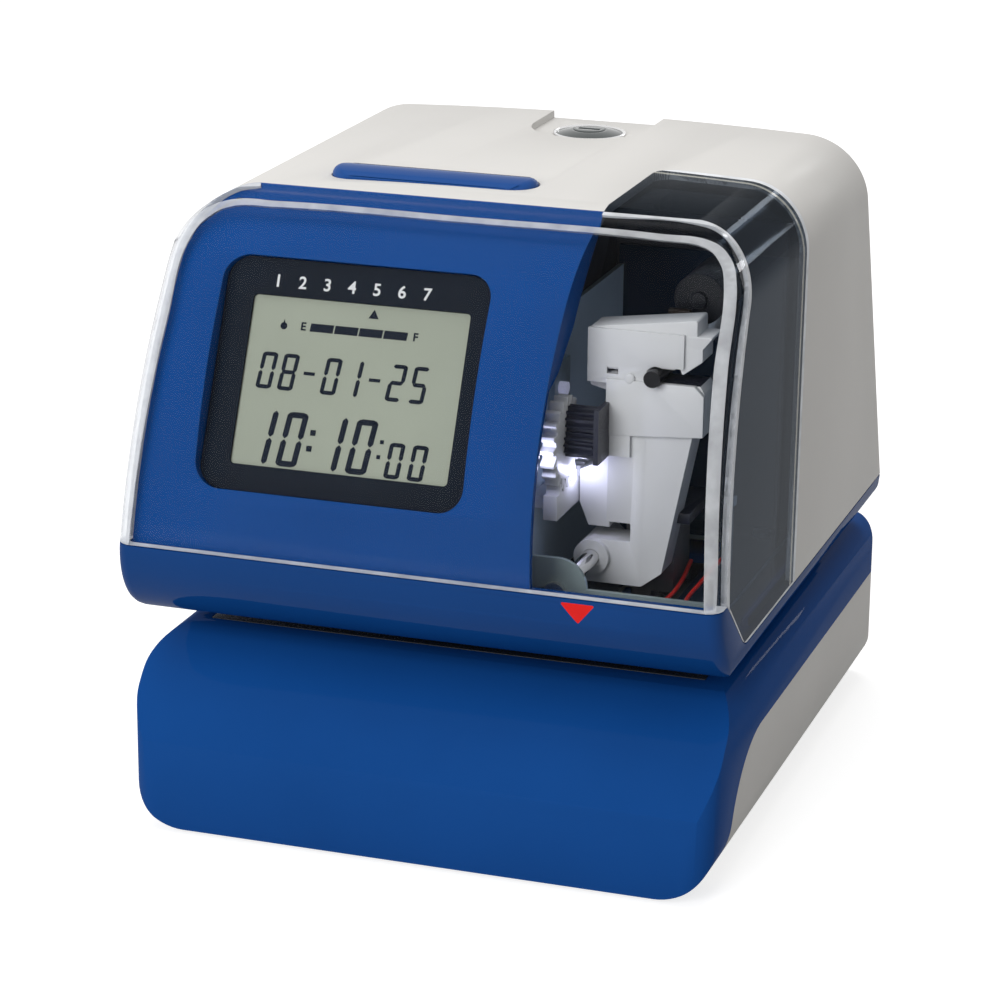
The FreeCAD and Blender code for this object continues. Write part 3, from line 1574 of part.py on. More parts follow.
def bar_pill(grow, low, high):
    """Rounded bar shape about the print bar's centre."""
    half = bar_length / 2 + grow
    radius = bar_width / 2 + grow
    y = behind(bar_center_y)
    corner = radius - 0.01
    wire = rounded_wire([(bar_center_x - half, y - radius, corner), (bar_center_x + half, y - radius, corner),
                         (bar_center_x + half, y + radius, corner),
                         (bar_center_x - half, y + radius, corner)], on_xy)
    pill = Part.Face(wire).extrude(Z_AXIS * (high - low))
    pill.translate(Z_AXIS * low)
    return pill


def make_case_pieces():
    """Case shell, clear visor and side window, cut from one wall."""
    wall = head_block(0).cut(head_block(case_wall)).common(skirt_region(case_seam))
    visor = wall.common(seam_region(0))
    rest = wall.cut(seam_region(0))
    window = rest.common(window_region())
    shell = rest.cut(window_region())
    pocket = recess_solid(case_wall, recess_z - case_wall).common(head_block(0))
    shell = shell.fuse(pocket).cut(recess_solid(0, recess_z))
    shell = shell.cut(cylinder(lock_barrel_diameter + 2 * seat_clear, 20.0,
                               V(lock_x, behind(lock_y), recess_z - 10), Z_AXIS))
    collar_low = head_top - case_wall - bar_collar_depth
    collar = bar_pill(part_clear + bar_collar, collar_low, head_top - case_wall)
    shell = shell.fuse(collar.common(head_block(0)))
    shell = shell.cut(bar_pill(part_clear, collar_low - 1, head_top + 5))
    return single(visor), single(window), single(shell)


def flange_top():
    return head_top - case_wall - bar_collar_depth


def make_print_bar():
    """Pressed bar with domed top, and a flange under the collar that keeps it in."""
    top = head_top + bar_proud
    body = bar_pill(0, flange_top() - 0.1, top)
    dome_radius = ((bar_width / 2) ** 2 + bar_proud ** 2) / (2 * bar_proud)
    dome = cylinder(2 * dome_radius, FAR, V(-FAR / 2, behind(bar_center_y), top - dome_radius), X_AXIS)
    body = body.common(dome)
    low = flange_top() - bar_flange_height
    flange = bar_pill(part_clear + bar_flange, low, flange_top())
    x = bar_center_x
    y = behind(bar_center_y)
    stem = cylinder(plunger_diameter, low - plunger_tip() + 0.1, V(x, y, plunger_tip()), Z_AXIS)
    bar = body.fuse(flange).fuse(stem)
    for side in (-1, 1):
        pin = cylinder(bar_spring_diameter - 2 * bar_spring_wire - 0.6, 2.0,
                       V(x + side * bar_spring_offset, y, low - 2.0), Z_AXIS)
        bar = bar.fuse(pin)
    return single(bar)


def plunger_tip():
    return flange_top() - bar_flange_height - plunger_length


def bridge_top():
    return flange_top() - bar_flange_height - bridge_drop


def make_bar_bridge():
    """Bridge under the bar, hung from the case collar, that carries the springs."""
    half = bar_length / 2 + part_clear + bar_flange + part_clear
    y = behind(bar_center_y)
    wide = 4.0
    deck = box(bar_center_x - half - bridge_leg, bar_center_x + half + bridge_leg, y - wide, y + wide,
               bridge_top() - bridge_thickness, bridge_top())
    legs = []
    for side in (-1, 1):
        near = bar_center_x + side * half
        x0 = min(near, near + side * bridge_leg)
        legs.append(box(x0, x0 + bridge_leg, y - wide, y + wide, bridge_top() - 0.1,
                        head_top - case_wall + 2))
    bridge = deck.fuse(legs[0]).fuse(legs[1]).common(head_block(case_wall))
    hole = cylinder(plunger_diameter + 2 * part_clear, 20.0, V(bar_center_x, y, bridge_top() - 10), Z_AXIS)
    return single(bridge.cut(hole))


def wire_section(radius):
    """Eight-sided section of the spring's wire, where the coil starts."""
    points = []
    for i in range(9):
        angle = rad(45.0 * i + 22.5)
        points.append(V(radius + bar_spring_wire / 2 * math.cos(angle), 0,
                        bar_spring_wire / 2 * math.sin(angle)))
    return Part.makePolygon(points)


def make_bar_springs():
    """Two coil springs between the bridge and the bar's flange."""
    springs = []
    low = bridge_top() + bar_spring_wire / 2
    height = flange_top() - bar_flange_height - bridge_top() - bar_spring_wire
    radius = (bar_spring_diameter - bar_spring_wire) / 2
    for side in (-1, 1):
        helix = Part.makeHelix(height / bar_spring_turns, height, radius)
        spring = Part.Wire(helix.Edges).makePipeShell([wire_section(radius)], True, True)
        spring.translate(V(bar_center_x + side * bar_spring_offset, behind(bar_center_y), low))
        springs.append(spring)
    return springs


# ---- lock ----

def make_lock_body():
    """Barrel through the recess floor with a low domed chrome face."""
    x = lock_x
    y = behind(lock_y)
    barrel = cylinder(lock_barrel_diameter, lock_barrel_length, V(x, y, recess_z - lock_barrel_length),
                      Z_AXIS)
    dome_radius = ((lock_face_diameter / 2) ** 2 + lock_face_height ** 2) / (2 * lock_face_height)
    dome = Part.makeSphere(dome_radius, V(x, y, recess_z + lock_face_height - dome_radius))
    cap = cylinder(lock_face_diameter, lock_face_height + 1, V(x, y, recess_z), Z_AXIS).common(dome)
    body = barrel.fuse(cap)
    return single(body.cut(cylinder(plug_diameter + 2 * run_clear, FAR, V(x, y, 0), Z_AXIS)))


def cam_top():
    return recess_z - lock_barrel_length - cam_gap


def make_lock_plug():
    x = lock_x
    y = behind(lock_y)
    top = recess_z + lock_face_height - 0.5 + plug_face_proud
    plug = cylinder(plug_diameter, top - cam_top(), V(x, y, cam_top()), Z_AXIS)
    keyway = box(x - keyway_length / 2, x + keyway_length / 2, y - keyway_width / 2, y + keyway_width / 2,
                 top - keyway_depth, top + 1)
    return single(plug.cut(keyway))


def make_lock_cam():
    """Flat cam under the plug; at rest it points to the front, clear of the keeper."""
    x = lock_x
    y = behind(lock_y)
    half = cam_width / 2
    wire = rounded_wire([(x - half, y + half + 1, half), (x + half, y + half + 1, half),
                         (x + half, y - cam_length + half, half - 0.01),
                         (x - half, y - cam_length + half, half - 0.01)], on_xy)
    cam = Part.Face(wire).extrude(Z_AXIS * cam_thickness)
    cam.translate(Z_AXIS * (cam_top() - cam_thickness))
    return single(cam)


def make_lock_nut():
    wire = Part.makePolygon([V(lock_x + lock_nut_width / 2 * math.cos(rad(60 * i)),
                               behind(lock_y) + lock_nut_width / 2 * math.sin(rad(60 * i)), 0)
                             for i in range(7)])
    nut = Part.Face(wire).extrude(Z_AXIS * lock_nut_height)
    nut.translate(Z_AXIS * (recess_z - case_wall - lock_nut_height))
    bore = cylinder(lock_barrel_diameter, FAR, V(lock_x, behind(lock_y), 0), Z_AXIS)
    return single(nut.cut(bore))


def main():
    os.makedirs("parts", exist_ok=True)
    export("base_cover", make_base_cover())
    export("base_bottom_shell", make_base_bottom_shell())
    export("base_screws", *make_base_screws())
    export("rubber_feet", *make_rubber_feet())
    export("power_inlet", make_power_inlet())
    export("power_transformer", make_power_transformer())
    export("power_board", make_power_board())
    export("table_plate", make_table_plate())
    export("paper_sensor", sensor_block(0))
    export("platen", make_platen())
    export("throat_column", make_column())
    export("head_pan", make_head_pan())
    export("index_triangle", make_index_triangle())
    export("face_panel", make_face_panel())
    export("display_bezel", make_display_bezel())
    export("lcd_glass", make_lcd_glass())
    export("display_board", make_display_board())
    export("chassis", make_chassis())
    export("main_board", make_main_board())
    export("print_switch", make_print_switch())
    export("setting_board", make_setting_board())
    for i, x in enumerate(setting_places()):
        export("setting_button_" + str(i + 1), make_setting_button(x))
    export("mechanism_frame", make_mechanism_frame())
    export("frame_screws", *make_frame_screws())
    export("guide_shaft", make_guide_shaft())
    export("guide_rod", make_guide_rod())
    export("rack", make_rack())
    board, lamp = make_lamp_board()
    export("lamp_board", board)
    export("lamp", lamp)
    export("mechanism_liner", make_mechanism_liner())
    export("lock_keeper", make_keeper())
    export("carriage", make_carriage())
    export("carriage_housing", make_carriage_side())
    export("carriage_latch", make_carriage_latch())
    export("ribbon_cassette", make_ribbon_cassette())
    export("ribbon_knob", make_ribbon_knob())
    export("print_head", make_print_head())
    export("drive_wheel", make_drive_wheel())
    export("drive_hub", make_drive_hub())
    export("motor_pinion", make_motor_pinion())
    export("gear_axles", make_gear_axles())
    export("motor", make_motor())
    export("motor_bracket", make_motor_bracket())
    export("motor_terminals", make_motor_terminals())
    visor, window, shell = make_case_pieces()
    export("case_shell", shell)
    export("clear_visor", visor)
    export("side_window", window)
    export("print_bar", make_print_bar())
    export("bar_bridge", make_bar_bridge())
    export("bar_springs", *make_bar_springs())
    export("lock_body", make_lock_body())
    export("lock_nut", make_lock_nut())
    export("lock_plug", make_lock_plug())
    export("lock_cam", make_lock_cam())


main()
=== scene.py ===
import json
import math
import bpy
from mathutils import Matrix, Vector


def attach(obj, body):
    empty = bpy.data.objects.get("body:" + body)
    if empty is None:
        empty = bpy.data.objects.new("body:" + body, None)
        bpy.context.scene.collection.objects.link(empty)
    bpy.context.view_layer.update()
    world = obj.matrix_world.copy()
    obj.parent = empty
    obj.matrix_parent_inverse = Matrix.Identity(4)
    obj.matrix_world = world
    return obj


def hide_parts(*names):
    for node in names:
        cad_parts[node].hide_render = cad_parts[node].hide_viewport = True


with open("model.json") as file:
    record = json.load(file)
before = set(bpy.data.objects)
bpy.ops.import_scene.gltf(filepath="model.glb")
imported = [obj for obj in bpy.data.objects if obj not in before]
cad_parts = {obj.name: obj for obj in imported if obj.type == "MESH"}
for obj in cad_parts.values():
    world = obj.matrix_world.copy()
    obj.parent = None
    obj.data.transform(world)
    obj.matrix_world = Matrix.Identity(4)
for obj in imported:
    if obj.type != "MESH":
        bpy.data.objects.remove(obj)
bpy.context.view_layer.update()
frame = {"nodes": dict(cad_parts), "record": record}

MM = 0.001
nodes = frame["nodes"]


def at(x, y, z):
    """A place given in millimetres."""
    return Vector((x, y, z)) * MM


# ---- camera ----

CAMERA_TARGET = at(0, -5, 81)
CAMERA_DISTANCE = 857.87 * MM
CAMERA_AZIMUTH = math.radians(18.58)
CAMERA_ELEVATION = math.radians(17.83)
CAMERA_ROLL = math.radians(0.53)
CAMERA_SIDEWAYS = 4.63 * MM
CAMERA_UPWARDS = 11.79 * MM
SENSOR = 36.0
LENS = 123.08


def make_camera():
    flat = math.cos(CAMERA_ELEVATION)
    back = Vector((math.sin(CAMERA_AZIMUTH) * flat, -math.cos(CAMERA_AZIMUTH) * flat,
                   math.sin(CAMERA_ELEVATION)))
    level_right = Vector((math.cos(CAMERA_AZIMUTH), math.sin(CAMERA_AZIMUTH), 0))
    level_up = back.cross(level_right)
    right = level_right * math.cos(CAMERA_ROLL) + level_up * math.sin(CAMERA_ROLL)
    up = level_up * math.cos(CAMERA_ROLL) - level_right * math.sin(CAMERA_ROLL)
    place = CAMERA_TARGET + back * CAMERA_DISTANCE - right * CAMERA_SIDEWAYS - up * CAMERA_UPWARDS
    camera = bpy.data.objects.new("camera", bpy.data.cameras.new("camera"))
    bpy.context.scene.collection.objects.link(camera)
    turn = Matrix((right, up, back)).transposed().to_4x4()
    camera.matrix_world = Matrix.Translation(place) @ turn
    camera.data.sensor_width = SENSOR
    camera.data.lens = LENS
    camera.data.clip_end = 20
    bpy.context.scene.camera = camera


# ---- finishes ----

def new_finish(name):
    """A material with its node tree and its Principled shader."""
    material = bpy.data.materials.new(name)
    material.use_nodes = True
    tree = material.node_tree
    shader = tree.nodes["Principled BSDF"]
    return material, tree, shader


def object_noise(tree, size, detail=3.0, stretch=None):
    """Noise whose blotches are about the given size in metres."""
    place = tree.nodes.new("ShaderNodeTexCoord")
    noise = tree.nodes.new("ShaderNodeTexNoise")
    noise.inputs["Scale"].default_value = 1 / size
    noise.inputs["Detail"].default_value = detail
    source = place.outputs["Object"]
    if stretch:
        mapping = tree.nodes.new("ShaderNodeMapping")
        mapping.inputs["Scale"].default_value = stretch
        tree.links.new(source, mapping.inputs["Vector"])
        source = mapping.outputs["Vector"]
    tree.links.new(source, noise.inputs["Vector"])
    return noise.outputs["Fac"]


def spread(tree, factor, low, high):
    """Maps the middle of a noise to a range of values."""
    node = tree.nodes.new("ShaderNodeMapRange")
    node.inputs["From Min"].default_value = 0.3
    node.inputs["From Max"].default_value = 0.7
    node.inputs["To Min"].default_value = low
    node.inputs["To Max"].default_value = high
    tree.links.new(factor, node.inputs["Value"])
    return node.outputs["Result"]


def blend_colours(tree, factor, first, second):
    node = tree.nodes.new("ShaderNodeMix")
    node.data_type = "RGBA"
    node.inputs["A"].default_value = (*first, 1)
    node.inputs["B"].default_value = (*second, 1)
    tree.links.new(factor, node.inputs["Factor"])
    return node.outputs["Result"]


def scaled(colour, factor):
    return tuple(min(1.0, c * factor) for c in colour)


def add_bump(tree, shader, height, distance, strength):
    bump = tree.nodes.new("ShaderNodeBump")
    bump.inputs["Distance"].default_value = distance
    bump.inputs["Strength"].default_value = strength
    tree.links.new(height, bump.inputs["Height"])
    tree.links.new(bump.outputs["Normal"], shader.inputs["Normal"])


def moulded(name, colour, rough, grain, bump, patch=30, tone=0.05, coat=0.0, metallic=0.0, specular=0.5,
            stretch=None, coat_rough=0.03):
    """Moulded or plated finish. Its grain, bump and patches of tone are in millimetres."""
    material, tree, shader = new_finish(name)
    slow = spread(tree, object_noise(tree, patch * MM), 0, 1)
    colours = blend_colours(tree, slow, scaled(colour, 1 - tone), scaled(colour, 1 + tone))
    tree.links.new(colours, shader.inputs["Base Color"])
    fine = object_noise(tree, grain * MM, 2.0, stretch)
    tree.links.new(spread(tree, fine, *rough), shader.inputs["Roughness"])
    add_bump(tree, shader, fine, bump * MM, 0.5)
    shader.inputs["Metallic"].default_value = metallic
    shader.inputs["Specular IOR Level"].default_value = specular
    if coat:
        shader.inputs["Coat Weight"].default_value = coat
        shader.inputs["Coat Roughness"].default_value = coat_rough
    return material


def see_through(name, tint, ior, rough, painted_highlight=0.0, sheen=(0.3, 0.3, 0.31), painted_highlight_colour=(0.85, 0.87, 0.9),
                most=1.0):
    """Thin clear plastic: what lies behind shows, and reflections grow at low angles up to most. A painted
    highlight, a pale diffuse veil, can be laid over it.
    """
    material, tree, shader = new_finish(name)
    clear = tree.nodes.new("ShaderNodeBsdfTransparent")
    clear.inputs["Color"].default_value = (*tint, 1)
    facing = tree.nodes.new("ShaderNodeLayerWeight")
    facing.inputs["Blend"].default_value = 0.5
    steep = tree.nodes.new("ShaderNodeMath")
    steep.operation = "POWER"
    tree.links.new(facing.outputs["Facing"], steep.inputs[0])
    steep.inputs[1].default_value = 5
    least = ((ior - 1) / (ior + 1)) ** 2
    share = tree.nodes.new("ShaderNodeMapRange")
    share.inputs["To Min"].default_value = least
    share.inputs["To Max"].default_value = most
    tree.links.new(steep.outputs["Value"], share.inputs["Value"])
    smudge = object_noise(tree, 18 * MM, 4.0)
    tree.links.new(spread(tree, smudge, rough, rough * 2.5), shader.inputs["Roughness"])
    shader.inputs["Base Color"].default_value = (*sheen, 1)
    shader.inputs["Metallic"].default_value = 1.0
    mix = tree.nodes.new("ShaderNodeMixShader")
    tree.links.new(share.outputs["Result"], mix.inputs["Fac"])
    tree.links.new(clear.outputs["BSDF"], mix.inputs[1])
    tree.links.new(shader.outputs["BSDF"], mix.inputs[2])
    last = mix.outputs["Shader"]
    # painted highlight: a pale diffuse veil mixed over the plastic in place of glints and light piped along
    # its edges
    if painted_highlight:
        veil = tree.nodes.new("ShaderNodeBsdfDiffuse")
        veil.inputs["Color"].default_value = (*painted_highlight_colour, 1)
        highlit = tree.nodes.new("ShaderNodeMixShader")
        cloud = spread(tree, object_noise(tree, 6 * MM, 3.0), painted_highlight * 0.8, painted_highlight * 1.2)
        tree.links.new(cloud, highlit.inputs["Fac"])
        tree.links.new(last, highlit.inputs[1])
        tree.links.new(veil.outputs["BSDF"], highlit.inputs[2])
        last = highlit.outputs["Shader"]
    tree.links.new(last, tree.nodes["Material Output"].inputs["Surface"])
    return material


def glowing(name, colour, glow, strength):
    """Lens of a lamp that is on."""
    material, tree, shader = new_finish(name)
    slow = spread(tree, object_noise(tree, 2 * MM), 0, 1)
    colours = blend_colours(tree, slow, scaled(colour, 0.95), scaled(colour, 1.05))
    tree.links.new(colours, shader.inputs["Base Color"])
    shader.inputs["Roughness"].default_value = 0.2
    shader.inputs["Emission Color"].default_value = (*glow, 1)
    shader.inputs["Emission Strength"].default_value = strength
    return material


BRUSH_DEPTH = (1, 0.05, 1)
SHELL_BLUE = (0.006, 0.062, 0.255)
BLUE_SHELL = dict(rough=(0.1, 0.16), grain=1.2, bump=0.003, patch=40, tone=0.04, specular=0.0)
MOULDED_FINISHES = {
    "blue_gloss": dict(BLUE_SHELL, colour=SHELL_BLUE, coat=0.15),
    "bar_blue": dict(BLUE_SHELL, colour=SHELL_BLUE, coat=0.4),
    "rim_blue": dict(BLUE_SHELL, colour=SHELL_BLUE, coat=0.06),
    # Darker blue on the head's pan is painted shade on its downward-facing chin.
    "pan_blue_painted_shade": dict(BLUE_SHELL, colour=(0.004, 0.045, 0.185), coat=0.15),
    "pale_grey": dict(colour=(0.64, 0.625, 0.6), rough=(0.38, 0.5), grain=0.35, bump=0.02, patch=40,
                      tone=0.02, coat=0.2, specular=0.0, coat_rough=0.3),
    "steel_screw": dict(colour=(0.62, 0.62, 0.6), rough=(0.25, 0.4), grain=0.4, bump=0.01, patch=3,
                        tone=0.08, metallic=1.0),
    "foot_rubber": dict(colour=(0.03, 0.03, 0.03), rough=(0.7, 0.85), grain=0.5, bump=0.05, patch=5,
                        tone=0.1),
    "black_plastic": dict(colour=(0.018, 0.018, 0.02), rough=(0.4, 0.55), grain=0.4, bump=0.02, patch=12,
                          tone=0.1),
    "transformer_steel": dict(colour=(0.12, 0.12, 0.13), rough=(0.35, 0.6), grain=0.5, bump=0.05, patch=8,
                              tone=0.2, metallic=0.8),
    "circuit_board": dict(colour=(0.015, 0.13, 0.05), rough=(0.25, 0.4), grain=1.5, bump=0.02, patch=4,
                          tone=0.25),
    "dark_table": dict(colour=(0.03, 0.034, 0.045), rough=(0.22, 0.38), grain=0.5, bump=0.01, patch=20,
                       tone=0.1, metallic=0.4),
    "platen_rubber": dict(colour=(0.035, 0.035, 0.035), rough=(0.5, 0.65), grain=0.5, bump=0.03, patch=8,
                          tone=0.1),
    "red_plastic": dict(colour=(0.72, 0.012, 0.01), rough=(0.2, 0.3), grain=0.5, bump=0.005, patch=5,
                        tone=0.04, coat=0.2, specular=0.0),
    "charcoal_gloss": dict(colour=(0.01, 0.014, 0.022), rough=(0.16, 0.24), grain=0.8, bump=0.004,
                           patch=20, tone=0.08, coat=0.12, specular=0.0),
    "lcd_grey": dict(colour=(0.332, 0.358, 0.289), rough=(0.14, 0.2), grain=0.25, bump=0.003, patch=25,
                     tone=0.03, specular=0.15),
    "zinc_sheet": dict(colour=(0.56, 0.57, 0.58), rough=(0.3, 0.45), grain=2.5, bump=0.01, patch=6,
                       tone=0.1, metallic=1.0),
    "grey_button": dict(colour=(0.33, 0.34, 0.36), rough=(0.4, 0.5), grain=0.4, bump=0.02, patch=5,
                        tone=0.05),
    "grey_green_sheet": dict(colour=(0.25, 0.31, 0.31), rough=(0.4, 0.55), grain=1.0, bump=0.01, patch=15,
                             tone=0.06, specular=0.3),
    # Pale sheet for the mechanism's upright wall: painted light where the wall gets only bounced light.
    "wall_sheet_painted_light": dict(colour=(0.5, 0.62, 0.74), rough=(0.4, 0.55), grain=1.0, bump=0.01, patch=15,
                       tone=0.06, specular=0.2),
    "bright_steel": dict(colour=(0.75, 0.75, 0.75), rough=(0.08, 0.16), grain=0.3, bump=0.003, patch=10,
                         tone=0.03, metallic=1.0, stretch=BRUSH_DEPTH),
    "white_plastic": dict(colour=(0.65, 0.653, 0.66), rough=(0.35, 0.45), grain=0.4, bump=0.01, patch=10,
                          tone=0.015, specular=0.3),
    "dark_liner": dict(colour=(0.008, 0.01, 0.022), rough=(0.45, 0.6), grain=0.5, bump=0.02, patch=20,
                       tone=0.2),
    "dark_gear": dict(colour=(0.014, 0.016, 0.028), rough=(0.25, 0.36), grain=0.4, bump=0.01, patch=4,
                      tone=0.1, specular=0.3),
    "print_head_metal": dict(colour=(0.2, 0.2, 0.21), rough=(0.35, 0.5), grain=0.5, bump=0.03, patch=6,
                             tone=0.1, metallic=0.9),
    "motor_black": dict(colour=(0.007, 0.008, 0.011), rough=(0.25, 0.38), grain=0.5, bump=0.008, patch=6,
                        tone=0.1, specular=0.2),
    "terminal_brown": dict(colour=(0.016, 0.012, 0.01), rough=(0.4, 0.5), grain=0.4, bump=0.02, patch=4,
                           tone=0.1, specular=0.2),
    "case_ivory": dict(colour=(0.7, 0.685, 0.66), rough=(0.34, 0.46), grain=0.3, bump=0.025, patch=45,
                       tone=0.015, coat=0.2, specular=0.0, coat_rough=0.3),
    "spring_steel": dict(colour=(0.55, 0.55, 0.55), rough=(0.2, 0.3), grain=0.3, bump=0.005, patch=3,
                         tone=0.05, metallic=1.0),
    # The lock's chrome is far darker than chrome: a painted reflection of dark surroundings.
    "lock_chrome": dict(colour=(0.085, 0.096, 0.096), rough=(0.1, 0.18), grain=0.5, bump=0.002, patch=6,
                        tone=0.03, metallic=1.0),
    # Dark sheet for the frame's rear plate and floor: painted shade.
    "navy_sheet_painted_shade": dict(colour=(0.01, 0.022, 0.044), rough=(0.45, 0.6), grain=1.0, bump=0.01, patch=20,
                       tone=0.15, specular=0.1),
    "board_grey": dict(colour=(0.32, 0.42, 0.48), rough=(0.4, 0.5), grain=0.8, bump=0.01, patch=3,
                       tone=0.15),
    "blackened_steel": dict(colour=(0.008, 0.008, 0.01), rough=(0.2, 0.3), grain=0.3, bump=0.003,
                            patch=10, tone=0.05, metallic=0.2, specular=0.2),
    "lcd_mark": dict(colour=(0.008, 0.012, 0.022), rough=(0.3, 0.4), grain=0.5, bump=0.002, patch=6,
                     tone=0.1, specular=0.1),
    "print_white": dict(colour=(0.75, 0.76, 0.76), rough=(0.35, 0.45), grain=0.3, bump=0.004, patch=4,
                        tone=0.05),
    "wire_red": dict(colour=(0.62, 0.015, 0.01), rough=(0.3, 0.4), grain=0.6, bump=0.005, patch=4,
                     tone=0.05),
    "brass": dict(colour=(0.72, 0.5, 0.18), rough=(0.2, 0.35), grain=0.4, bump=0.005, patch=2, tone=0.1,
                  metallic=1.0),
}
CLEAR_FINISHES = {
    "clear_plastic": dict(tint=(0.975, 0.98, 0.985), ior=1.2, rough=0.02),
    "smoked_plastic": dict(tint=(0.46, 0.5, 0.55), ior=1.25, rough=0.03, sheen=(0.06, 0.09, 0.13),
                           most=0.6),
    # The visor's low edge, seams and front bend carry painted highlights: a pale diffuse veil in place of
    # glints and light piped through the clear plastic.
    "visor_edge_highlight": dict(tint=(0.95, 0.96, 0.98), ior=1.3, rough=0.05, painted_highlight=0.75),
    "visor_seam_highlight": dict(tint=(0.9, 0.9, 0.9), ior=1.3, rough=0.05, painted_highlight=0.6),
    "visor_rim_highlight": dict(tint=(0.95, 0.96, 0.98), ior=1.3, rough=0.05, painted_highlight=0.42),
    # The window's edge lines carry painted highlights: a pale diffuse veil in place of light caught on its
    # edges.
    "window_edge": dict(tint=(0.9, 0.9, 0.9), ior=1.3, rough=0.05, painted_highlight=0.9),
    "window_seam": dict(tint=(0.6, 0.6, 0.6), ior=1.3, rough=0.05, painted_highlight=0.3, painted_highlight_colour=(0.8, 0.8, 0.7)),
}


def make_finishes():
    """One finish for each material slot of the record, and some for parts of pieces."""
    made = {name: moulded(name, **look) for name, look in MOULDED_FINISHES.items()}
    made.update((name, see_through(name, **look)) for name, look in CLEAR_FINISHES.items())
    made["lamp_lens"] = glowing("lamp_lens", colour=(0.5, 0.52, 0.66), glow=(0.72, 0.74, 1.0), strength=0.25)
    return made


# ---- modelling tools ----

ROD_SIDES = 40
SHARP_ANGLE = math.radians(30)


def leave_editing():
    """Back to object mode with nothing selected."""
    if bpy.context.object and bpy.context.object.mode != "OBJECT":
        bpy.ops.object.mode_set(mode="OBJECT")
    bpy.ops.object.select_all(action="DESELECT")


def take(piece):
    """Selects one piece alone and makes it the active one."""
    leave_editing()
    piece.select_set(True)
    bpy.context.view_layer.objects.active = piece


def new_piece(name):
    """Names the primitive just added and puts its place into its mesh."""
    piece = bpy.context.object
    piece.name = name
    piece.data.name = name
    bpy.ops.object.transform_apply(location=True, rotation=True, scale=True)
    return piece


def add_block(name, low, high):
    leave_editing()
    bpy.ops.mesh.primitive_cube_add(size=1, location=(low + high) / 2, scale=high - low)
    return new_piece(name)


def add_rod(name, start, end, radius):
    leave_editing()
    along = end - start
    bpy.ops.mesh.primitive_cylinder_add(vertices=ROD_SIDES, radius=radius, depth=along.length,
                                        location=(start + end) / 2,
                                        rotation=along.to_track_quat("Z", "Y").to_euler())
    return new_piece(name)


def edit_all(piece):
    """Opens the piece for editing with all of it selected."""
    take(piece)
    bpy.ops.object.mode_set(mode="EDIT")
    bpy.ops.mesh.select_all(action="SELECT")


def edit_some(piece, mode, parts, test):
    """Opens the piece for editing with only the faces or points selected that pass."""
    take(piece)
    bpy.ops.object.mode_set(mode="EDIT")
    bpy.ops.mesh.select_mode(type=mode)
    bpy.ops.mesh.select_all(action="DESELECT")
    bpy.ops.object.mode_set(mode="OBJECT")
    for part in getattr(piece.data, parts):
        part.select = test(part)
    bpy.ops.object.mode_set(mode="EDIT")


def select_faces(piece, test):
    """Selects by each face's middle and normal."""
    edit_some(piece, "FACE", "polygons", lambda face: test(face.center, face.normal))


def select_points(piece, test):
    """Selects by each point's place."""
    edit_some(piece, "VERT", "vertices", lambda point: test(point.co))


def soften(piece, width, segments=2):
    """Rounds the sharp edges."""
    take(piece)
    bevel = piece.modifiers.new("edges", "BEVEL")
    bevel.width = width
    bevel.segments = segments
    bevel.limit_method = "ANGLE"
    bevel.angle_limit = SHARP_ANGLE
    bevel.use_clamp_overlap = True
    bpy.ops.object.modifier_apply(modifier=bevel.name)


def smooth(piece, angle=SHARP_ANGLE):
    """Shades edges blunter than the angle as round."""
    take(piece)
    bpy.ops.object.shade_smooth_by_angle(angle=angle)


def mount(piece, body, slot, finish=None):
    """Gives a piece its finish and the body it moves with."""
    leave_editing()
    piece.data.materials.clear()
    piece.data.materials.append(finishes[finish or slot])
    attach(piece, body)


def join(name, pieces):
    """Makes pieces one under a name."""
    leave_editing()
    for piece in pieces:
        piece.select_set(True)
    bpy.context.view_layer.objects.active = pieces[0]
    bpy.ops.object.join()
    joined = bpy.context.object
    joined.name = name
    joined.data.name = name
    return joined


def copy_of(piece, name, move=None):
    """A copy with its own mesh, moved in its mesh."""
    copy = bpy.data.objects.new(name, piece.data.copy())
    bpy.context.scene.collection.objects.link(copy)
    if move is not None:
        copy.data.transform(move)
    return copy


def trim(piece, place, normal):
    """Cuts off what lies beyond a plane and closes the cut."""
    edit_all(piece)
    bpy.ops.mesh.bisect(plane_co=place, plane_no=normal, use_fill=True, clear_outer=True)
    leave_editing()


def carve(piece, cutter, operation):
    """Cuts a piece with another, or keeps only what both share."""
    take(piece)
    cut = piece.modifiers.new("carve", "BOOLEAN")
    cut.operation = operation
    cut.solver = "EXACT"
    cut.object = cutter
    bpy.ops.object.modifier_apply(modifier=cut.name)


# ---- softened bodies ----

node_slots = {part["node"]: part["material_slot"] for part in frame["record"]["subparts"]}
node_bodies = {node: body for body, members in frame["record"]["behaviour"]["bodies"].items()
               for node in members}

EDGE_WIDTHS = {
    "base_cover": 0.7, "base_bottom_shell": 0.6, "head_pan": 0.5, "case_shell": 0.5, "face_panel": 0.5,
    "display_bezel": 0.35, "throat_column": 0.5, "table_plate": 0.2,
    "power_inlet": 0.3, "carriage": 0.25, "carriage_housing": 0.25, "carriage_latch": 0.25,
    "ribbon_cassette": 0.5, "ribbon_knob": 0.15, "print_head": 0.3, "motor": 0.4, "motor_bracket": 0.2,
    "motor_terminals": 0.2, "mechanism_frame": 0.2, "mechanism_liner": 0.2, "rack": 0.08,
    "drive_hub": 0.05, "motor_pinion": 0.05, "drive_wheel": 0.08, "lock_body": 0.25, "lock_plug": 0.15,
    "guide_shaft": 0.3, "rubber_feet": 0.6, "platen": 0.3, "chassis": 0.2,
}
NODE_FINISHES = {
    "head_pan": "pan_blue_painted_shade", "base_cover": "rim_blue", "print_bar": "bar_blue", "lamp_board": "board_grey",
    "guide_rod": "blackened_steel",
}
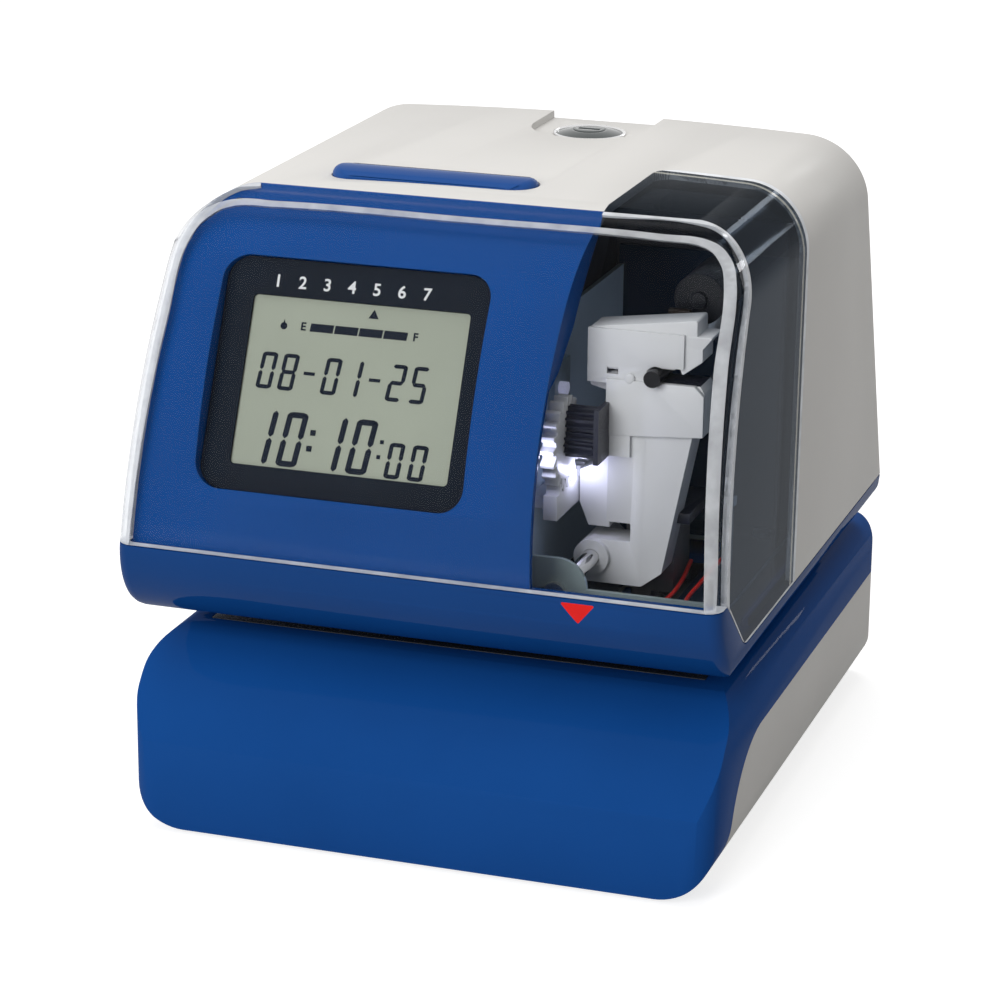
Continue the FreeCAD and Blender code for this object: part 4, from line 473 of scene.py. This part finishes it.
FLAT_LIMIT = math.radians(0.3)
MERGE_DISTANCE = 0.002 * MM


def merged_copy(node, name):
    """A copy of a CAD node whose loose triangles are joined up."""
    piece = copy_of(nodes[node], name)
    take(piece)
    bpy.ops.mesh.customdata_custom_splitnormals_clear()
    edit_all(piece)
    bpy.ops.mesh.remove_doubles(threshold=MERGE_DISTANCE)
    leave_editing()
    return piece


def flattened_copy(node):
    """A copy of a CAD node with its flat faces merged."""
    piece = merged_copy(node, "soft_" + node)
    edit_all(piece)
    bpy.ops.mesh.dissolve_limited(angle_limit=FLAT_LIMIT)
    leave_editing()
    return piece


def soften_node(node, width):
    """A copy of a CAD node with its edges rounded, which replaces it."""
    piece = flattened_copy(node)
    soften(piece, width * MM)
    smooth(piece)
    mount(piece, node_bodies[node], node_slots[node], NODE_FINISHES.get(node))
    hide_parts(node)


def finish_nodes():
    """Finishes for all nodes, and softened copies of those with visible edges."""
    for name, node in nodes.items():
        node.data.materials.clear()
        node.data.materials.append(finishes[NODE_FINISHES.get(name, node_slots[name])])
    for name, width in EDGE_WIDTHS.items():
        soften_node(name, width)


# ---- clear visor and side window ----

VISOR_LOW_EDGE = 74.0 * MM
SEAM_AXIS_Y = 64.94 * MM
SEAM_AXIS_Z = 56.1 * MM
SEAM_RADIUS = 142.3 * MM
SEAM_GAP = 0.25 * MM
SHELL_EDGE_REACH = 0.8 * MM
TUBE_RESOLUTION = 6
RIM_PATH = (
    (72.4, -86.0, 68.0, 1.6), (71.9, -84.3, 77.0, 1.6), (70.2, -78.6, 100.4, 1.6),
    (68.4, -68.4, 124.7, 1.6), (66.9, -56.5, 143.0, 1.5), (64.0, -51.2, 147.2, 1.4),
    (59.0, -47.6, 149.5, 1.3), (48.0, -46.6, 149.9, 1.1), (0.0, -46.4, 150.0, 1.0),
)
SEAM_PATH = (
    (74.3, -76.4, 66.0, 2.1), (74.3, -76.4, 71.6, 2.1), (73.6, -74.3, 85.0, 2.1),
    (72.8, -70.3, 100.0, 2.1), (72.0, -64.5, 115.0, 2.0), (71.2, -56.5, 130.0, 1.9),
    (70.8, -52.1, 136.9, 1.8), (69.6, -48.2, 142.3, 1.7), (65.8, -43.6, 148.0, 1.6),
    (60.4, -40.4, 151.7, 1.5), (54.6, -39.2, 152.9, 1.5), (31.5, -39.2, 152.9, 1.5),
)


def mirrored(path):
    return [(-x, y, z, radius) for x, y, z, radius in path]


def make_tube(name, path):
    """Round tube through places in millimetres, each with the tube's radius there."""
    leave_editing()
    bpy.ops.curve.primitive_bezier_curve_add(location=(0, 0, 0))
    line = bpy.context.object.data
    line.bevel_depth = MM
    line.bevel_resolution = TUBE_RESOLUTION
    line.use_fill_caps = True
    spline = line.splines[0]
    spline.bezier_points.add(len(path) - 2)
    for point, (x, y, z, radius) in zip(spline.bezier_points, path):
        point.co = at(x, y, z)
        point.radius = radius
        point.handle_left_type = "AUTO"
        point.handle_right_type = "AUTO"
    bpy.ops.object.convert(target="MESH")
    tube = bpy.context.object
    tube.name = name
    tube.data.name = name
    edit_all(tube)
    bpy.ops.mesh.remove_doubles(threshold=MERGE_DISTANCE)
    bpy.ops.mesh.normals_make_consistent(inside=False)
    leave_editing()
    return tube


def seam_distance(place):
    """How far a place is from the axis of the visor's round rear edge."""
    return math.hypot(place.y - SEAM_AXIS_Y, place.z - SEAM_AXIS_Z)


def paint_shell_edge():
    """The case shell's front edge, which shows through the visor, is blue."""
    shell = bpy.data.objects["soft_case_shell"]
    shell.data.materials.append(finishes["blue_gloss"])
    for face in shell.data.polygons:
        if abs(seam_distance(face.center) - SEAM_RADIUS) < SHELL_EDGE_REACH and face.normal.y < -0.3:
            face.material_index = 1


def make_visor():
    """Clear visor with a painted highlight on its low cut edge and rear seams, and a painted highlight on
    the bend round its front.
    """
    visor = merged_copy("clear_visor", "visor")
    select_points(visor, lambda place: seam_distance(place) < SEAM_RADIUS)
    bpy.ops.transform.translate(value=(0, -SEAM_GAP, 0))
    leave_editing()
    # Bands along the front bend and the rear seams get painted highlights.
    lines = (("visor_rim_highlight", "visor_rim_highlight", list(RIM_PATH) + mirrored(reversed(RIM_PATH[:-1]))),
             ("visor_seam_right", "visor_seam_highlight", SEAM_PATH),
             ("visor_seam_left", "visor_seam_highlight", mirrored(SEAM_PATH[:-1])))
    for name, finish, path in lines:
        cutter = make_tube("cutter", path)
        band = copy_of(visor, name)
        carve(band, cutter, "INTERSECT")
        carve(visor, cutter, "DIFFERENCE")
        bpy.data.objects.remove(cutter)
        mount(band, "case", "clear_plastic", finish)
        smooth(band)
    mount(visor, "case", "clear_plastic")
    # The low cut edge gets a painted highlight.
    visor.data.materials.append(finishes["visor_edge_highlight"])
    for face in visor.data.polygons:
        if face.normal.z < -0.9 and face.center.z < VISOR_LOW_EDGE:
            face.material_index = 1
    smooth(visor)
    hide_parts("clear_visor")


WINDOW_REAR = (at(70.8, 3.2, 136.9), Vector((0, 0.97, -0.25)))
WINDOW_FOOT = (at(75.0, -40.0, 59.8), Vector((0, 0, -1)))
WINDOW_TOE = (at(74.3, -76.0, 71.6), Vector((0, -0.72, -0.69)))
# Pale lines along the window's rear, foot and toe are painted highlights.
WINDOW_LINES = (
    (WINDOW_REAR, 0.0 * MM, 2.2 * MM, "window_edge"), (WINDOW_REAR, 4.2 * MM, 5.6 * MM, "window_seam"),
    (WINDOW_FOOT, 0.0 * MM, 0.6 * MM, "window_edge"), (WINDOW_TOE, 0.0 * MM, 0.6 * MM, "window_edge"),
)


def make_window():
    """Smoked window whose edges carry painted highlights, pale lines where it meets the case."""
    window = merged_copy("side_window", "smoked_window")
    mount(window, "case", "smoked_plastic")
    line_finishes = ["window_edge", "window_seam"]
    for finish in line_finishes:
        window.data.materials.append(finishes[finish])
    for (start, outward), *depths, finish in WINDOW_LINES:
        for depth in depths:
            if depth:
                edit_all(window)
                bpy.ops.mesh.bisect(plane_co=start - outward * depth, plane_no=outward)
                leave_editing()
    for face in window.data.polygons:
        for (start, outward), near, far, finish in WINDOW_LINES:
            depth = (start - face.center).dot(outward)
            if near < depth < far and (face.normal.x > 0.3 or face.normal.z > 0.3):
                face.material_index = 1 + line_finishes.index(finish)
    smooth(window)
    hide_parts("side_window")


# ---- display ----

DISPLAY_PLACE = at(-22.6, -66.4, 113.4)
DISPLAY_LEAN = math.radians(-24)
GLASS_DEPTH = 0.8 * MM
MARK_THICKNESS = 0.08 * MM
SEGMENT_GAP = 0.18 * MM
LETTER_WEIGHT = 0.07 * MM
LIT_SEGMENTS = {"0": "abcdef", "1": "bc", "2": "abdeg", "5": "acdfg", "8": "abcdefg"}

display_matrix = Matrix.Translation(DISPLAY_PLACE) @ Matrix.Rotation(DISPLAY_LEAN, 4, "X")


def upright_segment(length, width):
    """Bar of a digit, with pointed ends, about the display's origin."""
    half = width / 2
    bar = add_block("segment", Vector((-half, GLASS_DEPTH - MARK_THICKNESS, half - length / 2)),
                    Vector((half, GLASS_DEPTH, length / 2 - half)))
    for end in (1, -1):
        select_faces(bar, lambda middle, normal: normal.z * end > 0.9)
        bpy.ops.mesh.extrude_region_move(TRANSFORM_OT_translate={"value": (0, 0, end * half * 0.9)})
        bpy.ops.transform.resize(value=(0.12, 1, 1))
    leave_editing()
    return bar


def slanted(slant, low):
    """Leans what stands above a base line to the right."""
    shear = Matrix.Identity(4)
    shear[0][2] = slant
    shear[0][3] = -slant * low
    return shear


def make_digits(name, text, lefts, low, width, height, stroke, slant):
    """A row of seven-segment digits, with sizes in millimetres."""
    low, width, height, stroke = (size * MM for size in (low, width, height, stroke))
    tall = upright_segment(height / 2 - SEGMENT_GAP, stroke)
    wide = upright_segment(width - stroke / 2 - SEGMENT_GAP, stroke)
    flat = Matrix.Rotation(math.radians(90), 4, "Y")
    places = {
        "a": (wide, width / 2, height - stroke / 2), "g": (wide, width / 2, height / 2),
        "d": (wide, width / 2, stroke / 2),
        "f": (tall, stroke / 2, height * 3 / 4), "b": (tall, width - stroke / 2, height * 3 / 4),
        "e": (tall, stroke / 2, height / 4), "c": (tall, width - stroke / 2, height / 4),
    }
    bars = []
    for letter, left in zip(text, lefts):
        for segment in LIT_SEGMENTS[letter]:
            source, u, v = places[segment]
            turn = flat if source is wide else Matrix.Identity(4)
            place = Matrix.Translation(Vector((left * MM + u, 0, low + v)))
            bars.append(copy_of(source, "bar", slanted(slant, low) @ place @ turn))
    bpy.data.objects.remove(tall)
    bpy.data.objects.remove(wide)
    row = join(name, bars)
    row.data.transform(display_matrix)
    mount(row, "stand", "lcd_grey", "lcd_mark")


def make_marks(name, boxes, slant):
    """Flat rectangular marks on the glass: (left, low, right, high)."""
    marks = []
    for left, low, right, high in boxes:
        mark = add_block("mark", Vector((left, GLASS_DEPTH - MARK_THICKNESS, low)),
                         Vector((right, GLASS_DEPTH, high)))
        mark.data.transform(slanted(slant, low))
        marks.append(mark)
    joined = join(name, marks)
    soften(joined, 0.02 * MM, 1)
    joined.data.transform(display_matrix)
    mount(joined, "stand", "lcd_grey", "lcd_mark")


def make_lettering(name, text, u, v, size, depth, finish):
    """A word or figure that faces out of the display at a depth."""
    leave_editing()
    bpy.ops.object.text_add()
    letters = bpy.context.object
    letters.data.body = text
    letters.data.size = size
    letters.data.extrude = MARK_THICKNESS / 2
    letters.data.offset = LETTER_WEIGHT
    letters.data.align_x = "CENTER"
    letters.data.align_y = "CENTER"
    bpy.ops.object.convert(target="MESH")
    letters = bpy.context.object
    letters.name = name
    letters.data.name = name
    upright = Matrix.Rotation(math.radians(90), 4, "X")
    letters.data.transform(display_matrix @ Matrix.Translation(Vector((u, depth, v))) @ upright)
    mount(letters, "stand", "charcoal_gloss", finish)


def make_flat_shape(name, corners, u, v, radius, point=0.0):
    """A round or three-cornered mark; its top corner can be drawn up to a point."""
    leave_editing()
    bpy.ops.mesh.primitive_circle_add(vertices=corners, radius=radius, fill_type="NGON")
    shape = new_piece(name)
    upright = Matrix.Rotation(math.radians(90), 4, "X")
    shape.data.transform(upright)
    top = max(shape.data.vertices, key=lambda corner: corner.co.z)
    top.co.z += point
    select_faces(shape, lambda middle, normal: True)
    bpy.ops.mesh.extrude_region_move(TRANSFORM_OT_translate={"value": (0, MARK_THICKNESS, 0)})
    bpy.ops.mesh.select_all(action="SELECT")
    bpy.ops.mesh.normals_make_consistent(inside=False)
    leave_editing()
    shape.data.transform(display_matrix @ Matrix.Translation(Vector((u, GLASS_DEPTH - MARK_THICKNESS, v))))
    mount(shape, "stand", "lcd_grey", "lcd_mark")


DATE_ROW = dict(text="080125", lefts=(-22.6, -17.15, -6.35, -0.95, 9.95, 15.55), low=-3.17,
                width=3.9, height=8.8, stroke=0.95, slant=0.1)
TIME_ROW = dict(text="1010", lefts=(-22.4, -14.84, -4.85, 2.63), low=-21.1,
                width=5.3, height=13.1, stroke=1.4, slant=0.119)
SECOND_ROW = dict(text="00", lefts=(12.3, 18.1), low=-21.2,
                  width=3.85, height=8.5, stroke=1.0, slant=0.08)
COLON_DOTS = ((-6.45, -12.45, 1.35), (-6.9, -16.25, 1.35), (10.87, -12.87, 0.95), (10.48, -16.44, 0.95))
DASH_LEFTS = (-10.95 * MM, 5.45 * MM)
DASH_LENGTH = 2.8 * MM
DASH_LOW = 0.95 * MM
DASH_HIGH = 1.75 * MM
DAY_FIRST = -20.3 * MM
DAY_PITCH = 6.23 * MM
DAY_HEIGHT = 22.4 * MM
DAY_SIZE = 4.1 * MM
DAY_NUMBERS = 7
GAUGE_FIRST = -11.0 * MM
GAUGE_PITCH = 6.15 * MM
GAUGE_BAR = 5.8 * MM
GAUGE_LOW = 11.35 * MM
GAUGE_HIGH = 13.3 * MM
GAUGE_BARS = 4
GAUGE_LETTERS = (("gauge_empty", "E", -12.7), ("gauge_full", "F", 15.4))
GAUGE_LETTER_HEIGHT = 12.3 * MM
GAUGE_LETTER_SIZE = 2.7 * MM
INK_DROP = (-17.6 * MM, 12.1 * MM, 0.85 * MM)
INK_DROP_POINT = 0.8 * MM
DAY_MARKER = (4.44 * MM, 16.5 * MM, 1.45 * MM)
MARK_SLANT = 0.1


def dot(u, v, size):
    """Square mark about a place, all in millimetres."""
    half = size * MM / 2
    return u * MM - half, v * MM - half, u * MM + half, v * MM + half


def make_display():
    make_digits("date_digits", **DATE_ROW)
    make_marks("date_dashes", [(left, DASH_LOW, left + DASH_LENGTH, DASH_HIGH) for left in DASH_LEFTS],
               MARK_SLANT)
    make_digits("time_digits", **TIME_ROW)
    make_digits("second_digits", **SECOND_ROW)
    make_marks("time_colons", [dot(*place) for place in COLON_DOTS], 0.0)
    bar_lefts = [GAUGE_FIRST + i * GAUGE_PITCH for i in range(GAUGE_BARS)]
    make_marks("ink_gauge", [(left, GAUGE_LOW, left + GAUGE_BAR, GAUGE_HIGH) for left in bar_lefts],
               MARK_SLANT)
    make_flat_shape("ink_drop", 24, *INK_DROP, point=INK_DROP_POINT)
    make_flat_shape("day_marker", 3, *DAY_MARKER)
    in_glass = GLASS_DEPTH - MARK_THICKNESS / 2
    for name, letter, u in GAUGE_LETTERS:
        make_lettering(name, letter, u * MM, GAUGE_LETTER_HEIGHT, GAUGE_LETTER_SIZE, in_glass, "lcd_mark")
    for i in range(DAY_NUMBERS):
        make_lettering("day_number_%d" % (i + 1), str(i + 1), DAY_FIRST + i * DAY_PITCH, DAY_HEIGHT,
                       DAY_SIZE, -MARK_THICKNESS / 2, "print_white")


# ---- print mechanism ----

# print bar
BAR_CROWN = 153.5 * MM
BAR_ROUNDING = 2.0 * MM

# mechanism frame
REAR_PLATE = 19.0 * MM
FLOOR_SHEET = 61.0 * MM

# carriage: its plate, shelf and rod slot, and the gear plate on it
GEAR_FRONT = -49.6 * MM
AXLE_LEFT = 35.9 * MM
PLATE_FRONT = -48.0 * MM
PLATE_BACK = -38.8 * MM
PLATE_FOOT = 79.0 * MM
SHELF_BACK = -43.8 * MM
SHELF_LEFT = 50.0 * MM
SHELF_LOW = 80.2 * MM
SHELF_HIGH = 82.9 * MM
SLOT_LEFT = 45.0 * MM
SLOT_LOW = 115.0 * MM
SLOT_HIGH = 117.0 * MM

# layers on the carriage's plate, with places as x and z in millimetres
BAND_THICKNESS = 1.6 * MM
LAYER_THICKNESS = 0.9 * MM
ROD_PLACE = (47.7, 117.3)
ROD_HOLE_RADIUS = 2.3 * MM
DRILL_REACH = 5 * MM
SMALL_EDGE = 0.2 * MM
CARRIAGE_BAND = ((36.0, 101.8), (59.6, 115.8))
LATCH_FACE = ((31.2, 114.6), (54.4, 127.6))
LATCH_SLOT = ((47.7, 115.4), (56.0, 119.5))
LATCH_WINDOW = ((35.9, 116.9), (38.7, 118.5))
NUB_PLACE = (41.6, 116.2)
NUB_RADIUS = 1.3 * MM


def before_plate(place, forward):
    """A place in front of the carriage's plate, from its x and z in millimetres."""
    x, z = place
    return Vector((x * MM, PLATE_FRONT - forward, z * MM))


def carve_rod_hole(piece):
    """Round hole for the guide rod."""
    drill = add_rod("drill", before_plate(ROD_PLACE, DRILL_REACH), before_plate(ROD_PLACE, -DRILL_REACH),
                    ROD_HOLE_RADIUS)
    carve(piece, drill, "DIFFERENCE")
    bpy.data.objects.remove(drill)


def carve_opening(piece, low, high):
    """Square opening through the latch's face."""
    chisel = add_block("chisel", before_plate(low, LAYER_THICKNESS + MM), before_plate(high, -MM))
    carve(piece, chisel, "DIFFERENCE")
    bpy.data.objects.remove(chisel)


def make_carriage_band():
    """Thicker band across the top of the carriage plate, slanted below and at its right corner."""
    low, high = CARRIAGE_BAND
    band = add_block("carriage_band", before_plate(low, BAND_THICKNESS), before_plate(high, 0))
    trim(band, at(36, 0, 102), (0.07, 0, -1))
    trim(band, at(57.3, 0, 115.8), (0.7, 0, 0.7))
    carve_rod_hole(band)
    soften(band, SMALL_EDGE)
    smooth(band)
    mount(band, "carriage_group", "white_plastic")


def make_latch_face():
    """Face of the latch, with a round hole for the rod that opens into a slot, and a small window."""
    low, high = LATCH_FACE
    face = add_block("latch_face", before_plate(low, LAYER_THICKNESS), before_plate(high, 0))
    trim(face, at(54.4, 0, 119.4), (0.75, 0, -0.66))
    carve_rod_hole(face)
    carve_opening(face, *LATCH_SLOT)
    carve_opening(face, *LATCH_WINDOW)
    soften(face, SMALL_EDGE)
    smooth(face)
    mount(face, "carriage_group", "white_plastic")
    nub = add_rod("latch_nub", before_plate(NUB_PLACE, LAYER_THICKNESS + 0.8 * MM),
                  before_plate(NUB_PLACE, LAYER_THICKNESS - 0.2 * MM), NUB_RADIUS)
    soften(nub, 0.5 * MM, 3)
    smooth(nub)
    mount(nub, "carriage_group", "white_plastic")


def make_axle_plate():
    """Gear plate with steel pins, a white foot and dark arms."""
    plate = merged_copy("gear_axles", "gear_plate")
    mount(plate, "carriage_group", "bright_steel")
    plate.data.materials.append(finishes["white_plastic"])
    plate.data.materials.append(finishes["dark_gear"])
    for face in plate.data.polygons:
        if face.center.x > AXLE_LEFT:
            face.material_index = 2 if face.center.y < GEAR_FRONT else 1
    smooth(plate)
    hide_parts("gear_axles")


def paint_frame():
    """Painted shade on the frame's rear plate and floor and painted light on its upright wall; painted shade
    on the carriage's shelf edge, slot floor and faces behind its plate.
    """
    sheet = bpy.data.objects["soft_mechanism_frame"]
    sheet.data.materials.append(finishes["navy_sheet_painted_shade"])
    sheet.data.materials.append(finishes["wall_sheet_painted_light"])
    # Rear plate and floor faces get painted shade, the upright wall painted light.
    for face in sheet.data.polygons:
        if face.center.y > REAR_PLATE or face.normal.z > 0.9 and face.center.z < FLOOR_SHEET:
            face.material_index = 1
        elif face.normal.x > 0.9 and face.center.z > FLOOR_SHEET:
            face.material_index = 2
    # The carriage's faces behind its plate, its shelf edge and its slot floor get the dark gear finish as
    # painted shade.
    carriage = bpy.data.objects["soft_carriage"]
    carriage.data.materials.append(finishes["dark_gear"])
    for face in carriage.data.polygons:
        x, y, z = face.center
        behind_plate = y > PLATE_BACK and z > PLATE_FOOT
        shelf_edge = y > SHELF_BACK and x > SHELF_LEFT and SHELF_LOW < z < SHELF_HIGH
        slot_floor = face.normal.z > 0.9 and x > SLOT_LEFT and SLOT_LOW < z < SLOT_HIGH
        if behind_plate or shelf_edge or slot_floor:
            face.material_index = 1


def round_print_bar():
    """The print bar with its top rounded over to its ends and sides."""
    bar = flattened_copy("print_bar")
    select_faces(bar, lambda middle, normal: normal.z > 0.9 and middle.z > BAR_CROWN)
    bpy.ops.mesh.region_to_loop()
    bpy.ops.mesh.bevel(offset=BAR_ROUNDING, segments=6, affect="EDGES")
    leave_editing()
    smooth(bar, math.radians(50))
    mount(bar, node_bodies["print_bar"], node_slots["print_bar"], NODE_FINISHES["print_bar"])
    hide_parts("print_bar")


LEAD_RADIUS = 0.5
LEADS = (
    ((51.8, -28.0, 66.0), (51.8, -38.0, 63.2), (50.4, -44.5, 61.4), (47.5, -51.0, 60.8)),
    ((58.5, -22.0, 66.0), (56.4, -35.0, 63.4), (55.2, -45.0, 61.2), (57.5, -52.0, 60.8)),
)
TAB_LOW = at(48.15, -37.4, 127.6)
TAB_HIGH = at(49.05, -36.8, 129.2)
TAB_PITCH = at(2.2, 0, 0)
LOCK_FACE = at(1, 47.5, 152.45)
LOCK_FACE_RADIUS = 9.0 * MM
LOCK_RIM_RADIUS = 0.45 * MM


def make_leads():
    """Two fixed leads of the print mechanism along the frame's floor."""
    for i, places in enumerate(LEADS):
        lead = make_tube("lead_%d" % (i + 1), [(*place, LEAD_RADIUS) for place in places])
        smooth(lead, math.radians(60))
        mount(lead, "stand", "red_plastic", "wire_red")


def make_terminal_tabs():
    """Brass solder tabs on the motor's terminal block."""
    first = add_block("terminal_tab_1", TAB_LOW, TAB_HIGH)
    soften(first, 0.15 * MM)
    second = copy_of(first, "terminal_tab_2", Matrix.Translation(TAB_PITCH))
    for tab in (first, second):
        mount(tab, node_bodies["motor_terminals"], "terminal_brown", "brass")


def make_spool_post():
    """Steel post with a collar on the frame's floor, right of the carriage."""
    post = add_rod("spool_post", at(61.4, -30, 60.2), at(61.4, -30, 88), 1.1 * MM)
    collar = add_rod("collar", at(61.4, -30, 82), at(61.4, -30, 84.5), 1.9 * MM)
    post = join("spool_post", [post, collar])
    soften(post, SMALL_EDGE)
    smooth(post)
    mount(post, "stand", "bright_steel")


def make_lock_rim():
    """Polished ring round the lock's face."""
    leave_editing()
    bpy.ops.mesh.primitive_torus_add(location=LOCK_FACE, major_radius=LOCK_FACE_RADIUS,
                                     minor_radius=LOCK_RIM_RADIUS, major_segments=64, minor_segments=12)
    rim = new_piece("lock_rim")
    smooth(rim, math.radians(60))
    mount(rim, "case", "lock_chrome", "bright_steel")


def make_mechanism():
    make_carriage_band()
    make_latch_face()
    make_axle_plate()
    paint_frame()
    make_lock_rim()
    round_print_bar()
    make_leads()
    make_terminal_tabs()
    make_spool_post()


# ---- stage ----

def shown_rays(tree):
    """1 for rays of the camera, of reflections and through clear plastic, and 0 for all others."""
    light_path = tree.nodes.new("ShaderNodeLightPath")
    seen = light_path.outputs["Is Camera Ray"]
    for ray in ("Is Glossy Ray", "Is Transmission Ray"):
        either = tree.nodes.new("ShaderNodeMath")
        either.operation = "MAXIMUM"
        tree.links.new(seen, either.inputs[0])
        tree.links.new(light_path.outputs[ray], either.inputs[1])
        seen = either.outputs["Value"]
    return seen


def camera_white(tree, shader_output, amount):
    """Adds white that only rays of the camera, of reflections and through clear plastic meet."""
    seen = shown_rays(tree)
    white = tree.nodes.new("ShaderNodeEmission")
    white.inputs["Color"].default_value = (1, 1, 1, 1)
    level = tree.nodes.new("ShaderNodeMath")
    level.operation = "MULTIPLY"
    level.inputs[1].default_value = amount
    tree.links.new(seen, level.inputs[0])
    tree.links.new(level.outputs["Value"], white.inputs["Strength"])
    both = tree.nodes.new("ShaderNodeAddShader")
    tree.links.new(shader_output, both.inputs[0])
    tree.links.new(white.outputs["Emission"], both.inputs[1])
    return both.outputs["Shader"]


FLOOR_SIZE = 6.0
FLOOR_COLOUR = (0.5, 0.5, 0.5)
FLOOR_WHITE = 0.75
AMBIENT = 0.35
STUDIO_LAMPS = (
    # name, place, width, height, power, whether reflections show it
    ("key_lamp", (-0.45, -1.75, 0.85), 1.0, 1.0, 25.0, False),
    ("top_lamp", (-0.2, 0.3, 1.6), 1.2, 1.2, 13.0, False),
    ("rear_strip", (0.2, 2.0, 0.95), 0.12, 0.5, 1.5, True),
    ("rear_side_strip", (0.75, 2.0, 0.62), 0.08, 0.5, 1.0, True),
)
LAMP_TARGET = Vector((0, 0, 0.08))
INNER_LAMPS = (("print_lamp", (30.2, -50.0, 92.5), 0.0024), ("wheel_lamp", (26.7, -68.5, 101.0), 0.003))
INNER_COLOUR = (0.72, 0.73, 1.0)


def make_stage():
    """Pale floor, and a plain studio of soft light all round."""
    leave_editing()
    bpy.ops.mesh.primitive_plane_add(size=FLOOR_SIZE, location=(0, 0, 0))
    floor = new_piece("floor")
    material, tree, shader = new_finish("floor")
    shader.inputs["Base Color"].default_value = (*FLOOR_COLOUR, 1)
    shader.inputs["Roughness"].default_value = 0.9
    shader.inputs["Specular IOR Level"].default_value = 0.0
    lit = camera_white(tree, shader.outputs["BSDF"], FLOOR_WHITE)
    tree.links.new(lit, tree.nodes["Material Output"].inputs["Surface"])
    floor.data.materials.append(material)

    world = bpy.data.worlds.new("studio")
    bpy.context.scene.world = world
    world.use_nodes = True
    tree = world.node_tree
    sky = tree.nodes["Background"]
    seen = shown_rays(tree)
    level = tree.nodes.new("ShaderNodeMapRange")
    level.inputs["To Min"].default_value = AMBIENT
    level.inputs["To Max"].default_value = 1.0
    tree.links.new(seen, level.inputs["Value"])
    tree.links.new(level.outputs["Result"], sky.inputs["Strength"])
    sky.inputs["Color"].default_value = (1, 1, 1, 1)


def add_lamp(name, kind, power):
    data = bpy.data.lights.new(name, kind)
    data.energy = power
    lamp = bpy.data.objects.new(name, data)
    bpy.context.scene.collection.objects.link(lamp)
    return lamp


def make_lamps():
    """Soft studio lamps that face the object, and the two small lamps in its mechanism."""
    for name, place, width, height, power, reflected in STUDIO_LAMPS:
        place = Vector(place)
        lamp = add_lamp(name, "AREA", power)
        lamp.data.shape = "RECTANGLE"
        lamp.data.size = width
        lamp.data.size_y = height
        aim = (LAMP_TARGET - place).to_track_quat("-Z", "Y").to_matrix().to_4x4()
        lamp.matrix_world = Matrix.Translation(place) @ aim
        lamp.visible_glossy = reflected
    for name, place, power in INNER_LAMPS:
        lamp = add_lamp(name, "POINT", power)
        lamp.data.color = INNER_COLOUR
        lamp.data.shadow_soft_size = MM
        lamp.location = at(*place)
        lamp.visible_camera = False


finishes = make_finishes()
make_camera()
make_stage()
make_lamps()
finish_nodes()
paint_shell_edge()
make_visor()
make_window()
make_mechanism()
make_display()

scene = bpy.context.scene
scene.view_settings.view_transform = "Standard"
